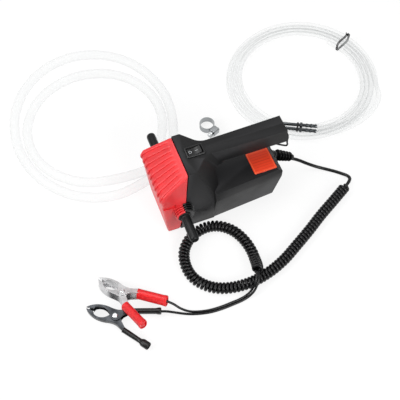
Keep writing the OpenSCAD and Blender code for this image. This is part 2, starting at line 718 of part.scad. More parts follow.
// Side view of one arm: jaw with a hollow middle, pivot ear and handle of width hw.
module arm_outline(hw, extra) {
    polygon([
        [jaw_len, 0.4], [jaw_len - 2, 2.6], [jaw_len - 8, 6.2], [jaw_len - 15, 8], [jaw_len - 23, 8.2], [4, 7],
        [-4, 8], handle_point(0, hw / 2), handle_point(handle_len + extra, hw / 2),
        handle_point(handle_len + extra, -hw / 2), handle_point(2, -hw / 2), [-8, 3],
        [-5, -3.6], [0, -5], [4.6, -2.4], [8, 1.6], [jaw_len - 20, 4.4], [jaw_len - 12, 4.6], [jaw_len - 5, 2.3],
        [jaw_len - 3, 0.3]
    ]);
}
function handle_point(along, side) = [handle_from[0] - along * cos(splay) + side * sin(splay),
    handle_from[1] + along * sin(splay) + side * cos(splay)];

module arm(width, hw) {
    difference() {
        linear_extrude(width, center = true) arm_outline(hw, 0);
        linear_extrude(width - 2 * sheet, center = true) translate([0, -sheet * 1.1]) arm_outline(hw, 3);
        cylinder(h = 40, r = pivot_r + fit, center = true);
    }
}
pivot_r = 1.8;
head_rim = 3;                     // radius of a rivet's head
function inner_w(width) = width - 2 * sheet - 0.4; // width of the arm inside one of this width
module rivet(width) {
    cylinder(h = width + 0.1, r = pivot_r, center = true);
    for (side = [0, 180]) rotate([side, 0, 0]) translate([0, 0, width / 2 + 0.05])
        cylinder(h = 1.1, r1 = head_rim, r2 = 2.2);
}
// Torsion spring: turns round the rivet up to z on both sides, and a leg along each handle.
module spring_coil(turns, z) {
    tube(concat([[-9, 3.6, -z], [-5, 2.4, -z]],
        [for (i = [0:40]) let (a = 180 - splay - 6 + i * (360 * turns + 2 * splay + 12) / 40)
            [3.1 * cos(a), 3.1 * sin(a), z * (i / 20 - 1)]],
        [[-4, -1.9, z], [-9, -5.8, z], [-14, -9.8, z]]), 1.2, 6);
}
// Plastic sleeve pushed over a handle.
sleeve_t = 1.1;
module sleeve_section(width, hw, grow) {
    w = width + 0.2 + 2 * (sleeve_t + grow);
    high = hw + 0.2 + 2 * (sleeve_t + grow);
    r = 2;
    difference() {
        union() {
            square([w - 2 * r, high], center = true);
            square([w, high - 2 * r], center = true);
            for (a = [-1, 1], b = [-1, 1]) translate([a * (w / 2 - r), b * (high / 2 - r)]) circle(r, $fn = 24);
        }
        square([width + 0.2, hw + 0.2], center = true);
    }
}
// Sleeve with a thicker mouth of the length given.
module sleeve(width, hw, mouth, grow) {
    translate(concat(handle_point(0.5, 0), 0)) rotate([0, 0, 180 - splay]) rotate([0, 90, 0]) {
        linear_extrude(handle_len + 1) sleeve_section(width, hw, 0);
        translate([0, 0, handle_len + 1 - mouth]) linear_extrude(mouth) sleeve_section(width, hw, grow);
    }
}

black_at = [-156.9, -111.3, 6.2];
red_at = [-142.4, -92.3, 13.7];
module black_place() { translate(black_at) rotate([0, 0, 142.5]) children(); }
module red_place() { translate(red_at) rotate([0, 0, 126.3]) rotate([0, 10, 0]) rotate([19, 0, 0]) children(); }

module red_fixed_arm() { color("silver") red_place() mirror([0, 1, 0]) arm(red_w, RED_HANDLE); }
module red_moving_arm() { color("silver") red_place() arm(inner_w(red_w), RED_HANDLE); }
module red_rivet() { color("white") red_place() rivet(red_w); }
module red_spring() { color("gray") red_place() spring_coil(3, 2.5); }
module red_sleeve() { color("#e12828") red_place() mirror([0, 1, 0]) sleeve(red_w, RED_HANDLE, 3, 0.3); }
module red_moving_sleeve() { color("#e12828") red_place() sleeve(inner_w(red_w), RED_HANDLE, 3, 0.3); }
module black_fixed_arm() { color("#4a4a4c") black_place() mirror([0, 1, 0]) arm(black_w, BLACK_HANDLE); }
module black_moving_arm() { color("#4a4a4c") black_place() arm(inner_w(black_w), BLACK_HANDLE); }
module black_rivet() { color("silver") black_place() rivet(black_w); }
module black_spring() { color("gray") black_place() spring_coil(2, 1.7); }
module black_sleeve() { color("#151515") black_place() mirror([0, 1, 0]) sleeve(black_w, BLACK_HANDLE, 4, 0.6); }
module black_moving_sleeve() { color("#151515") black_place() sleeve(inner_w(black_w), BLACK_HANDLE, 9, 1.3); }

// ---- hoses ----

hose_at = [-104, 142];
loop_r = [hose_turn_r + hose_d + 1.8, hose_turn_r + hose_d * 2.4];
hose_r = hose_d / 2;
module thick_hose_coil() {
    color("#eef2f2") translate([hose_at[0], hose_at[1], hose_r]) rotate_extrude($fn = 72)
        translate([hose_turn_r, 0]) circle(hose_r);
}
// The outer turn, an oval loop whose ends lie behind the pump.
LOOP_ROUTE = concat([for (i = [0:25]) let (a = -52 + i * 338 / 25)
    [hose_at[0] + loop_r[0] * cos(a), hose_at[1] + 6 + loop_r[1] * sin(a), hose_r]],
    [[-66, 41.5, hose_r], [-57, 42.5, hose_r]]);
module thick_hose_loop() { color("#eef2f2") tube(LOOP_ROUTE, hose_d, 10); }

coil_at = [171, 117];
coil_z = 1.4;                     // the tie passes under the coil
coil_h = 2 * thin_d;
module thin_hose_coil() {
    color("#eef2f2") translate([coil_at[0], coil_at[1], coil_z]) rotate_extrude($fn = 72) {
        translate([coil_in_r + 3, 0]) square([coil_out_r - coil_in_r - 6, coil_h]);
        translate([coil_in_r, 3]) square([coil_out_r - coil_in_r, coil_h - 6]);
        for (x = [coil_in_r + 3, coil_out_r - 3], z = [3, coil_h - 3]) translate([x, z]) circle(3);
    }
}
tail_z = coil_z + coil_h + thin_d / 2 + 0.7;
TAIL_A = [[151, 34, tail_z], [163, 28, tail_z], [176, 25, tail_z], [189, 25.5, tail_z]];
TAIL_B = [[147, 27.5, tail_z], [159, 21, tail_z], [172, 18, tail_z], [186, 18.5, tail_z]];
module thin_hose_tails() {
    color("#eef2f2") {
        tube(TAIL_A, thin_d, 8);
        tube(TAIL_B, thin_d, 8);
    }
}
// Wire tie round the coil.
tie_a = 26;
module coil_tie() {
    wide = coil_out_r - coil_in_r;
    color("#151515") translate([coil_at[0], coil_at[1], coil_z + coil_h / 2]) rotate([0, 0, tie_a]) {
        translate([(coil_in_r + coil_out_r) / 2, 0, 0]) rotate([90, 0, 0]) linear_extrude(2.4, center = true) difference() {
            square([wide + 2.6, coil_h + 2.6], center = true);
            square([wide + 0.2, coil_h + 0.2], center = true);
        }
        for (k = [-1, 1]) translate([coil_out_r - 6, 0, coil_h / 2 + 1.2]) rotate([0, 30, 35 * k]) translate([-0.4, -0.6, 0]) cube([1, 1.2, 9]);
    }
}

// Metal connectors in the hose's ends, lying on the coil.
module connector(from, a) {
    translate(from) rotate([0, 90, a]) {
        cylinder(h = 46, r = 2);
        for (x = [2, 7, 12]) translate([0, 0, x]) cylinder(h = 3, r1 = 2, r2 = 2.5);
        translate([0, 0, 18]) cylinder(h = 3, r = 3.4, $fn = 6);
    }
}
con_a = atan2(TAIL_A[0][1] - TAIL_A[1][1], TAIL_A[0][0] - TAIL_A[1][0]);
con_b = atan2(TAIL_B[0][1] - TAIL_B[1][1], TAIL_B[0][0] - TAIL_B[1][0]);
module connectors() {
    color("#9a9da0") {
        connector(TAIL_A[0], con_a);
        connector(TAIL_B[0], con_b);
    }
}
module connector_rings() {
    color("#181818") for (c = [[TAIL_A[0], con_a], [TAIL_B[0], con_b]])
        translate(c[0]) rotate([0, 90, c[1]]) translate([0, 0, 23]) difference() {
            cylinder(h = 1.6, r = 3.2);
            translate([0, 0, -1]) cylinder(h = 4, r = 2 + fit);
        }
}

// ---- hose clamp ----

clip_at = [28, 93];
clip_a = -65;
band_r = band_in_d / 2;
worm_r = band_r + 1 + 3.4;
module clamp_band() {
    color("#c4c8cc") translate([clip_at[0], clip_at[1], 0.6]) difference() {
        union() {
            cylinder(h = band_w, r = band_r + 0.9);
            rotate([0, 0, clip_a]) translate([band_r + 0.2, -7, 0]) cube([0.8, 7, band_w]);
        }
        translate([0, 0, -1]) cylinder(h = band_w + 2, r = band_r);
    }
}
module clamp_housing() {
    color("#b4b8bc") translate([clip_at[0], clip_at[1], 0.6]) rotate([0, 0, clip_a]) difference() {
        translate([band_r + 1.1, -4.5, -0.5]) cube([6.8, 9, band_w + 1]);
        translate([worm_r + 1, 0, band_w / 2]) rotate([90, 0, 0]) cylinder(h = 30, r = 2.6 + fit, center = true);
    }
}
module clamp_screw() {
    color("#d0d4d8") translate([clip_at[0], clip_at[1], 0.6]) rotate([0, 0, clip_a]) translate([worm_r + 1, 0, band_w / 2]) rotate([90, 0, 0]) {
        translate([0, 0, -6]) cylinder(h = 12.5, r = 2.6);
        difference() {
            translate([0, 0, 6.5]) cylinder(h = 4, r = 3.4, $fn = 6);
            translate([-4, -0.5, 9.3]) cube([8, 1, 2]);
        }
    }
}

front_cap();
near_shell();
far_shell();
rating_plate();
case_screws();
cap_screws();
pump_body();
pump_cover();
cover_gasket();
shaft_seal();
drive_gear();
driven_gear();
driven_axle();
near_spigot();
far_spigot();
spigot_rings();
motor_mount();
motor_can();
end_bell();
magnets();
armature();
commutator();
motor_shaft();
brushes();
bushes();
switch_frame();
switch_rocker();
switch_terminals();
inner_wires();
hang_hook();
strain_relief();
straight_cable();
curly_cord();
twin_lead();
black_lead();
red_fixed_arm();
red_moving_arm();
red_rivet();
red_spring();
red_sleeve();
red_moving_sleeve();
black_fixed_arm();
black_moving_arm();
black_rivet();
black_spring();
black_sleeve();
black_moving_sleeve();
thick_hose_coil();
thick_hose_loop();
thin_hose_coil();
thin_hose_tails();
coil_tie();
connectors();
connector_rings();
clamp_band();
clamp_housing();
clamp_screw();
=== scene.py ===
# %% [markdown]
# A small 12 V fluid transfer pump with everything that comes in its box: a red and black
# gear pump, a curly supply cord with two battery clamps, a thick clear hose, two thin clear
# hoses and a hose clamp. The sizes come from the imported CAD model, which is loaded first.
# The places below are in millimetres in the same frame: +X from the red cap to the
# handle's tail, -Y towards the viewer, +Z up from the table.

# %% Load the CAD frame
import json
import math

import bmesh
import bpy
from mathutils import Matrix, Vector
from mathutils.bvhtree import BVHTree

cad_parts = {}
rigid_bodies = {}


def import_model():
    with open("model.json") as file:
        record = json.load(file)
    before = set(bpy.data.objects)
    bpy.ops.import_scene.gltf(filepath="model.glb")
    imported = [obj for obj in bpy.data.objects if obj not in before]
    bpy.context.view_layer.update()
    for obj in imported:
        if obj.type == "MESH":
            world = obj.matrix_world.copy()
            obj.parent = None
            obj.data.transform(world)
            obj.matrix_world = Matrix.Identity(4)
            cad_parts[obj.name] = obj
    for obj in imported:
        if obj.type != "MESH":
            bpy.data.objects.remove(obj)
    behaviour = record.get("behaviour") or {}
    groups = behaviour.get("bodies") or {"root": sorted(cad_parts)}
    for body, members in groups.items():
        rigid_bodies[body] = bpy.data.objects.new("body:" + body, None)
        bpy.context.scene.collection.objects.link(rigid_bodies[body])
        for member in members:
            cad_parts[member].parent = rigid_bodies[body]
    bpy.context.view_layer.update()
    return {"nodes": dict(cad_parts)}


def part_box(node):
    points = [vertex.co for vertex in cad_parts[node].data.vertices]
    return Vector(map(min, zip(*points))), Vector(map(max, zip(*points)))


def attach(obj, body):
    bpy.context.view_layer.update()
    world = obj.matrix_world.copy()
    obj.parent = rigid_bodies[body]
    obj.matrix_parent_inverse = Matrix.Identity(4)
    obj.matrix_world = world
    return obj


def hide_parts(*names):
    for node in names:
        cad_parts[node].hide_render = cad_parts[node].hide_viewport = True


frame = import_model()
MM = 0.001
scene = bpy.context.scene


# %% [markdown]
# The camera is the photograph's own: it looks down at about sixty degrees from the near
# left. Its place and its lens were settled by the image points, which are kept here by name.
# A pixel of the photograph is about 1.2 mm on the table.

# %% Camera and image points
IMAGE_SIZE = 400
CAMERA_AT = (-172.1, -405.4, 729.2)
CAMERA_AZIMUTH = -20.94
CAMERA_ELEVATION = 59.47
LENS = 64.04
SENSOR = 36.0
POINTS = {
    "case_left_x": 141.3,
    "case_right_x": 287.5,
    "case_top_y": 115.8,
    "case_bottom_y": 231.6,
    "switch_o": (189.7, 151.6),
    "switch_i": (195.7, 148.3),
    "plate_middle": (260.7, 160.7),
    "near_spigot_tip": (192.6, 237.0),
    "far_spigot_tip": (152.0, 137.0),
    "black_rivet": (115.9, 317.1),
    "red_sleeve_end": (145.0, 327.1),
    "black_flare_end": (150.9, 344.8),
    "hose_clamp_middle": (206.4, 125.7),
    "vent_near": (275.0, 156.5),
    "vent_far": (271.9, 150.4),
    "tail_corner": (279.3, 116.4),
    "housing_corner": (272.9, 190.7),
}

camera_data = bpy.data.cameras.new("photo_camera")
camera_data.sensor_fit = "AUTO"
camera_data.sensor_width = SENSOR
camera_data.lens = LENS
camera_data.clip_start = 0.05
camera_data.dof.use_dof = False
camera = bpy.data.objects.new("photo_camera", camera_data)
scene.collection.objects.link(camera)
azimuth = math.radians(CAMERA_AZIMUTH)
elevation = math.radians(CAMERA_ELEVATION)
towards_camera = Vector((math.sin(azimuth) * math.cos(elevation),
                         -math.cos(azimuth) * math.cos(elevation),
                         math.sin(elevation)))
camera.rotation_euler = towards_camera.to_track_quat("Z", "Y").to_euler()
camera.location = Vector(CAMERA_AT) * MM
scene.camera = camera
bpy.context.view_layer.update()
print("camera is", round(camera.location.length, 3), "m from the origin")


def to_image(place):
    """The pixel of the photograph's frame at which a place in metres shows."""
    local = camera.matrix_world.inverted() @ Vector(place)
    scale = IMAGE_SIZE * LENS / SENSOR / -local.z
    return (IMAGE_SIZE / 2 + local.x * scale, IMAGE_SIZE / 2 - local.y * scale)


def place_on(point, carrier):
    """Where the ray through an image point meets the carrier: (place, normal) in metres."""
    tree = BVHTree.FromObject(carrier, bpy.context.evaluated_depsgraph_get())
    x, y = point
    shift = (camera_data.shift_x * IMAGE_SIZE, camera_data.shift_y * IMAGE_SIZE)
    ray = Vector((x - IMAGE_SIZE / 2 + shift[0], IMAGE_SIZE / 2 - y + shift[1],
                  -IMAGE_SIZE * LENS / SENSOR))
    turn = carrier.matrix_world.inverted() @ camera.matrix_world
    start = turn.translation
    way = (turn.to_3x3() @ ray).normalized()
    hit, normal, _, _ = tree.ray_cast(start, way)
    if hit is None:
        nearest = [tree.find_nearest(start + way * step * 0.002) for step in range(300, 500)]
        hit, normal, _, _ = min(nearest, key=lambda found: found[3])
    return carrier.matrix_world @ hit, (carrier.matrix_world.to_3x3() @ normal).normalized()


# %% [markdown]
# Every finish below is a node tree. One function adds a node, another starts a material
# from the values that the whole surface shares. Colours are written as sRGB hex and turned
# to the linear values that the renderer works in.

# %% Helpers for materials
def linear(hex_colour):
    """Linear RGBA from an sRGB hex colour."""
    parts = [int(hex_colour[i:i + 2], 16) / 255 for i in (1, 3, 5)]
    return tuple(c / 12.92 if c <= 0.04045 else ((c + 0.055) / 1.055) ** 2.4
                 for c in parts) + (1.0,)


def add(tree, kind, inputs=None, **settings):
    """Adds a node with its settings, and fills its inputs with values or links."""
    made = tree.nodes.new(kind)
    for name, value in settings.items():
        setattr(made, name, value)
    for name, value in (inputs or {}).items():
        if isinstance(value, bpy.types.NodeSocket):
            tree.links.new(value, made.inputs[name])
        else:
            made.inputs[name].default_value = value
    return made


def start_material(name, **shader_values):
    """A material with one Principled shader; returns (material, tree, shader)."""
    made = bpy.data.materials.new(name)
    made.use_nodes = True
    tree = made.node_tree
    tree.nodes.clear()
    shader = add(tree, "ShaderNodeBsdfPrincipled",
                 {key.replace("_", " "): value for key, value in shader_values.items()})
    add(tree, "ShaderNodeOutputMaterial", {"Surface": shader.outputs["BSDF"]})
    return made, tree, shader


def grains(millimetres):
    """Noise scale whose grains are this far apart; object space is in metres."""
    return 1000 / millimetres


def noise(tree, where, grain_mm, detail=2.0):
    """Noise in object space; where is a texture coordinate node."""
    return add(tree, "ShaderNodeTexNoise", {"Vector": where.outputs["Object"],
                                            "Scale": grains(grain_mm),
                                            "Detail": detail}).outputs[0]


def spread(tree, value, low, high, to_low, to_high):
    """Maps a value from one range to another and holds it at both ends."""
    return add(tree, "ShaderNodeMapRange", {"Value": value, "From Min": low, "From Max": high,
                                            "To Min": to_low, "To Max": to_high}).outputs[0]


def maths(tree, operation, first, second):
    """One step of arithmetic on two values."""
    return add(tree, "ShaderNodeMath", {0: first, 1: second}, operation=operation).outputs[0]


def mixed(tree, share, first, second):
    """The first colour where share is 0, the second where it is 1."""
    return add(tree, "ShaderNodeMix", {0: share, 6: first, 7: second},
               data_type="RGBA").outputs[2]


def toned(tree, colour, value):
    """A colour made darker or lighter by a value round 1."""
    return add(tree, "ShaderNodeHueSaturation", {"Color": colour, "Value": value}).outputs[0]


def bumps(tree, height, strength, distance):
    """A bump from a height; the distance is in metres."""
    return add(tree, "ShaderNodeBump", {"Height": height, "Strength": strength,
                                        "Distance": distance}).outputs[0]


def dress(tree, shader, **sources):
    """Links each source to the shader's input of that name; _ stands for a space."""
    for name, source in sources.items():
        tree.links.new(source, shader.inputs[name.replace("_", " ")])


# %% [markdown]
# ** Moulded ABS.** The case is injection-moulded ABS from a spark-eroded steel mould, so it has
# a fine even grain with a soft, wide highlight. Handling polishes it in patches. Its sharp edges
# are painted lighter: partly rubbed wear, partly a painted highlight where rounded edges catch
# the light. The grain is drawn coarser than such grain usually is, so that it still shows at
# this image size.

# %% Moulded ABS, black and red
GRAIN_MM = 0.7
PATCH_MM = 26


def moulded_abs(name, colour, edge_wear_and_highlight, rough, grain_depth, shine=0.5):
    """Grained ABS whose sharp edges turn lighter: rubbed wear together with a painted edge
    highlight.
    """
    made, tree, shader = start_material(name, IOR=1.53, Specular_IOR_Level=shine)
    where = add(tree, "ShaderNodeTexCoord")
    patches = noise(tree, where, PATCH_MM)
    edge = add(tree, "ShaderNodeNewGeometry").outputs["Pointiness"]
    # Sharp edges are mixed towards the lighter colour: partly rubbed wear, partly a painted
    # highlight.
    worn_and_lit_edges = mixed(tree, spread(tree, edge, 0.53, 0.62, 0.0, 0.5), linear(colour), linear(edge_wear_and_highlight))
    dress(tree, shader,
          Base_Color=toned(tree, worn_and_lit_edges, spread(tree, patches, 0.3, 0.7, 0.9, 1.1)),
          Roughness=spread(tree, patches, 0.3, 0.7, rough - 0.05, rough + 0.06),
          Normal=bumps(tree, noise(tree, where, GRAIN_MM, 3.0), grain_depth, 0.0002))
    return made


# The second colour of each is the lighter edge colour: rubbed wear and a painted edge highlight.
black_abs = moulded_abs("black_moulded_abs", "#171718", "#3a3a3c", 0.4, 0.3, 0.18)
red_abs = moulded_abs("red_moulded_abs", "#e62f34", "#f4686b", 0.4, 0.25)
switch_abs = moulded_abs("switch_glossy_abs", "#0c0c0d", "#2c2c2e", 0.26, 0.08, 0.35)
spigot_nylon = moulded_abs("spigot_glass_filled_nylon", "#0f1112", "#2a2c2e", 0.34, 0.25, 0.2)
print("ABS grain", GRAIN_MM, "mm, patches", PATCH_MM, "mm")


# %% [markdown]
# **Metals.** Each metal part is sheet, turned bar, sintered powder or a casting, and its
# surface tells which: turned and drawn parts carry fine lines, castings a coarse skin. The
# base colour of a metal is its reflection, and roughness spreads it.

# %% Metals
CLOUD_MM = 9


def metal(name, colour, rough, skin_mm, skin_depth, dirt):
    """A bare or plated metal with a skin of the given grain, darker by dirt in places."""
    made, tree, shader = start_material(name, Metallic=1.0)
    where = add(tree, "ShaderNodeTexCoord")
    cloud = noise(tree, where, CLOUD_MM, 3.0)
    dress(tree, shader,
          Base_Color=toned(tree, linear(colour), spread(tree, cloud, 0.35, 0.7, 1.0, 1.0 - dirt)),
          Roughness=spread(tree, cloud, 0.3, 0.7, rough - 0.06, rough + 0.08),
          Normal=bumps(tree, noise(tree, where, skin_mm, 4.0), skin_depth, 0.0001))
    return made


tinned_steel = metal("tinned_spring_steel", "#dcdcdd", 0.3, 1.2, 0.2, 0.3)
blacked_steel = metal("gun_blued_spring_steel", "#434548", 0.3, 1.0, 0.35, 0.5)
zinc_steel = metal("zinc_plated_steel", "#d8dadb", 0.28, 0.8, 0.15, 0.12)
wire_steel = metal("black_phosphated_wire", "#2b2c2e", 0.45, 0.8, 0.3, 0.2)
stainless = metal("rolled_stainless_strip", "#a6a9ab", 0.2, 1.5, 0.12, 0.25)
nickel_brass = metal("nickel_plated_brass", "#4b4e50", 0.24, 1.1, 0.12, 0.2)
pump_alloy = metal("die_cast_aluminium", "#8d9194", 0.5, 0.9, 0.8, 0.2)
sintered_iron = metal("sintered_iron", "#9b9fa3", 0.46, 0.5, 0.7, 0.2)
copper_wire = metal("enamelled_copper", "#a8642f", 0.3, 0.6, 0.6, 0.3)
tinned_brass = metal("tinned_brass_tab", "#cdb98a", 0.3, 0.8, 0.2, 0.15)
oiled_bronze = metal("oiled_sintered_bronze", "#9a7440", 0.4, 0.5, 0.6, 0.25)
drawn_steel = metal("drawn_motor_can_steel", "#a9acaf", 0.3, 1.4, 0.2, 0.15)


# %% [markdown]
# **Rubber, cable and dark powders.** PVC on a flexible lead has a waxy sheen, nitrile rubber
# is duller, and magnets and brushes are pressed powders with almost no shine. One function
# makes them all, since only colour, shine and grain differ.

# %% Soft black plastics and powders
def soft_black(name, colour, rough, grain_mm, grain_depth, shine=0.5):
    """A dark, non-metallic skin with an even grain."""
    made, tree, shader = start_material(name, IOR=1.5, Specular_IOR_Level=shine)
    where = add(tree, "ShaderNodeTexCoord")
    grain = noise(tree, where, grain_mm, 3.0)
    dress(tree, shader,
          Base_Color=toned(tree, linear(colour), spread(tree, grain, 0.3, 0.7, 0.85, 1.15)),
          Roughness=spread(tree, grain, 0.3, 0.7, rough - 0.05, rough + 0.05),
          Normal=bumps(tree, grain, grain_depth, 0.0001))
    return made


cord_pvc = soft_black("cord_soft_pvc", "#08080a", 0.3, 1.6, 0.12, 0.3)
nitrile = soft_black("nitrile_rubber", "#0b0b0c", 0.45, 0.9, 0.3, 0.3)
black_vinyl = soft_black("dipped_black_vinyl", "#0a0a0b", 0.3, 2.4, 0.12, 0.35)
red_vinyl = soft_black("dipped_red_vinyl", "#e02529", 0.32, 3.5, 0.05, 0.4)
red_insulation = soft_black("red_wire_insulation", "#a01f22", 0.4, 1.5, 0.1)
magnet_ferrite = soft_black("pressed_ferrite", "#3d3d40", 0.7, 0.8, 0.7)
carbon = soft_black("pressed_carbon", "#262628", 0.6, 0.5, 0.6)
tie_wire = soft_black("plastic_coated_tie", "#0d0d0e", 0.4, 0.8, 0.2, 0.3)
white_print = soft_black("white_pad_print", "#b4b8ba", 0.5, 0.6, 0.1)


# %% [markdown]
# **Clear PVC hose.** A clear hose is glass-like where one looks straight through both walls
# and dense at its edges, where the eye runs along the wall. Real refraction would need many
# bounces in a thin wall, so a Layer Weight drives how much of the surface shows.

# %% Clear PVC hose
RIPPLE_MM = 14


def clear_hose(name, middle, rim, rough):
    """Clear vinyl that shows by middle in its centre and by rim along its edges."""
    made, tree, shader = start_material(name, IOR=1.45, Base_Color=linear("#dde1e1"))
    where = add(tree, "ShaderNodeTexCoord")
    facing = add(tree, "ShaderNodeLayerWeight", {"Blend": 0.35}).outputs["Facing"]
    ripple = noise(tree, where, RIPPLE_MM)
    dress(tree, shader, Alpha=spread(tree, facing, 0.1, 0.95, middle, rim),
          Roughness=spread(tree, ripple, 0.3, 0.7, rough - 0.03, rough + 0.05),
          Normal=bumps(tree, ripple, 0.06, 0.0005))
    return made


thick_pvc = clear_hose("clear_pvc_thick_hose", 0.085, 0.22, 0.3)
thin_pvc = clear_hose("clear_pvc_thin_hose", 0.07, 0.17, 0.3)


# %% [markdown]
# **Rating plate.** A self-adhesive vinyl plate printed in orange-red. Its words are left off;
# the printed border and the thin ruled lines of its table stay, as they do on any such plate.
# The lines are worked out from the plate's own corner, in millimetres.

# %% Printed vinyl plate
PLATE_LOW, PLATE_HIGH = [Vector(corner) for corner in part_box("rating_plate")]
RULE_GAP = 3.4 * MM
RULE_W = 0.45 * MM
RULE_MARGIN = 3 * MM
BORDER = (1.6 * MM, 0.9 * MM)


def printed_plate():
    """Orange-red vinyl with a paler border and thin ruled lines."""
    made, tree, shader = start_material("printed_vinyl_plate", IOR=1.5)
    where = add(tree, "ShaderNodeTexCoord")
    half = (PLATE_HIGH - PLATE_LOW) / 2
    apart = add(tree, "ShaderNodeVectorMath", {0: where.outputs["Object"],
                                               1: (PLATE_LOW + PLATE_HIGH) / 2},
                operation="SUBTRACT")
    folded = add(tree, "ShaderNodeVectorMath", {0: apart.outputs[0]}, operation="ABSOLUTE")
    x, y, _ = add(tree, "ShaderNodeSeparateXYZ", {"Vector": folded.outputs[0]}).outputs
    bands = []
    for place, reach in ((x, half.x), (y, half.y)):
        past = maths(tree, "GREATER_THAN", place, reach - BORDER[0])
        bands.append(maths(tree, "MULTIPLY", past,
                           maths(tree, "LESS_THAN", place, reach - BORDER[1])))
    rule = maths(tree, "LESS_THAN", maths(tree, "MODULO", y, RULE_GAP), RULE_W)
    lines = maths(tree, "MULTIPLY", rule, maths(tree, "LESS_THAN", x, half.x - RULE_MARGIN))
    ruled = mixed(tree, lines, linear("#f5431f"), linear("#d93512"))
    fibre = noise(tree, where, 1.2)
    dress(tree, shader,
          Base_Color=mixed(tree, maths(tree, "MAXIMUM", *bands), ruled, linear("#ff6a3a")),
          Roughness=spread(tree, fibre, 0, 1, 0.38, 0.55),
          Normal=bumps(tree, fibre, 0.08, 0.0001))
    return made


plate_vinyl = printed_plate()
print("materials:", len(bpy.data.materials))


# %% [markdown]
# The floor is a plain white table. The camera, mirrors and clear parts see it glow a little
# below white, with the lamps' light and the object's shadow on top; further out it fades to
# plain white. All other rays see plain pale card.

# %% Table
WHITE = (1, 1, 1, 1)
CARD = (0.72, 0.72, 0.72, 1)
SHADED_CARD = (0.2, 0.2, 0.2, 1)
CARD_GLOW = 0.81
CARD_FADE = (0.45, 0.9)  # metres from the origin
HALF_FLOOR = 3.0
DIRECTION_OF_SKY = Vector((0.1, 0.42, 0.9)).normalized()


def white_table():
    """White card that stays white to the camera and still takes the object's shadow."""
    made = bpy.data.materials.new("white_card_table")
    made.use_nodes = True
    tree = made.node_tree
    tree.nodes.clear()
    light = add(tree, "ShaderNodeLightPath").outputs
    seen = maths(tree, "MAXIMUM", light["Is Camera Ray"], light["Is Glossy Ray"])
    clear = maths(tree, "MAXIMUM", seen, light["Is Transmission Ray"])
    card = add(tree, "ShaderNodeBsdfDiffuse", {"Color": CARD})
    shaded = add(tree, "ShaderNodeBsdfDiffuse", {"Color": SHADED_CARD})
    glow = add(tree, "ShaderNodeEmission", {"Color": WHITE, "Strength": CARD_GLOW})
    lit = add(tree, "ShaderNodeAddShader", {0: shaded.outputs[0], 1: glow.outputs[0]})
    place = add(tree, "ShaderNodeNewGeometry")
    away = add(tree, "ShaderNodeVectorMath", {0: place.outputs["Position"]}, operation="LENGTH")
    plain = add(tree, "ShaderNodeEmission", {"Color": WHITE, "Strength": 1.0})
    seen_card = add(tree, "ShaderNodeMixShader",
                    {0: spread(tree, away.outputs["Value"], *CARD_FADE, 0.0, 1.0),
                     1: lit.outputs[0], 2: plain.outputs[0]})
    both = add(tree, "ShaderNodeMixShader", {0: clear, 1: card.outputs[0],
                                             2: seen_card.outputs[0]})
    add(tree, "ShaderNodeOutputMaterial", {"Surface": both.outputs[0]})
    return made


floor_mesh = bpy.data.meshes.new("table")
floor_mesh.from_pydata([(x * HALF_FLOOR, y * HALF_FLOOR, 0)
                        for x, y in ((-1, -1), (1, -1), (1, 1), (-1, 1))], [], [(0, 1, 2, 3)])
floor = bpy.data.objects.new("table", floor_mesh)
floor.location.z = -0.3 * MM
floor_mesh.materials.append(white_table())
scene.collection.objects.link(floor)
print("table:", 2 * HALF_FLOOR, "m across")


# %% [markdown]
# The sky's brightness follows the angle to one direction. Mirrors see it at full strength and
# dull surfaces at half, so that dark plastic keeps both its highlights and its depth.

# %% Sky
scene.view_settings.view_transform = "Standard"
world = bpy.data.worlds.new("studio")
world.use_nodes = True
scene.world = world
sky_tree = world.node_tree
sky_tree.nodes.clear()
path = add(sky_tree, "ShaderNodeLightPath").outputs
eye = maths(sky_tree, "MAXIMUM", path["Is Camera Ray"], path["Is Transmission Ray"])
where = add(sky_tree, "ShaderNodeTexCoord")
facing = add(sky_tree, "ShaderNodeVectorMath", {0: where.outputs["Generated"],
                                                1: DIRECTION_OF_SKY}, operation="DOT_PRODUCT")
studio = spread(sky_tree, facing.outputs["Value"], -0.1, 0.8, 0.1, 1.0)
gain = spread(sky_tree, path["Is Glossy Ray"], 0.0, 1.0, 0.5, 1.0)
level = maths(sky_tree, "MAXIMUM", maths(sky_tree, "MULTIPLY", studio, gain), eye)
sky = add(sky_tree, "ShaderNodeBackground", {"Color": WHITE, "Strength": level})
add(sky_tree, "ShaderNodeOutputWorld", {"Surface": sky.outputs[0]})


# %% [markdown]
# Three soft lamps: one overhead, one from the left, and one from the near side that lights
# the walls that face the viewer.

# %% Lamps
LAMPS = {
    # name: (place in metres, aim, size in metres, power in watts)
    "overhead_softbox": ((-0.4, 0.35, 1.45), (0, 0, 0.04), 1.0, 8),
    "left_softbox": ((-1.25, 0.05, 0.85), (0, 0, 0.05), 0.6, 8),
    "near_softbox": ((0.35, -1.2, 0.8), (0, 0, 0.04), 0.7, 13),
}
for name, (place, aim, size, power) in LAMPS.items():
    lamp_data = bpy.data.lights.new(name, "AREA")
    lamp_data.size = size
    lamp_data.energy = power
    lamp = bpy.data.objects.new(name, lamp_data)
    lamp.location = place
    lamp.rotation_euler = (Vector(place) - Vector(aim)).to_track_quat("Z", "Y").to_euler()
    scene.collection.objects.link(lamp)
print("lamps:", ", ".join(LAMPS))


# %% [markdown]
# The pieces are drawn in millimetres and turned to metres as their mesh is made. A piece
# takes its material, its body and the CAD nodes that it stands for in one call.


def settle(obj, material, body="pump", nodes=()):
    """Dresses a piece, lets it ride on its body and stand for CAD nodes."""
    obj.data.materials.clear()
    obj.data.materials.append(material)
    if obj.name not in scene.collection.objects:
        scene.collection.objects.link(obj)
    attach(obj, body)
    if nodes:
        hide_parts(*nodes)
    return obj


def smooth(mesh, degrees=35):
    """Smooth shading with sharp edges where faces meet at more than this angle."""
    for face in mesh.polygons:
        face.use_smooth = True
    mesh.set_sharp_from_angle(angle=math.radians(degrees))


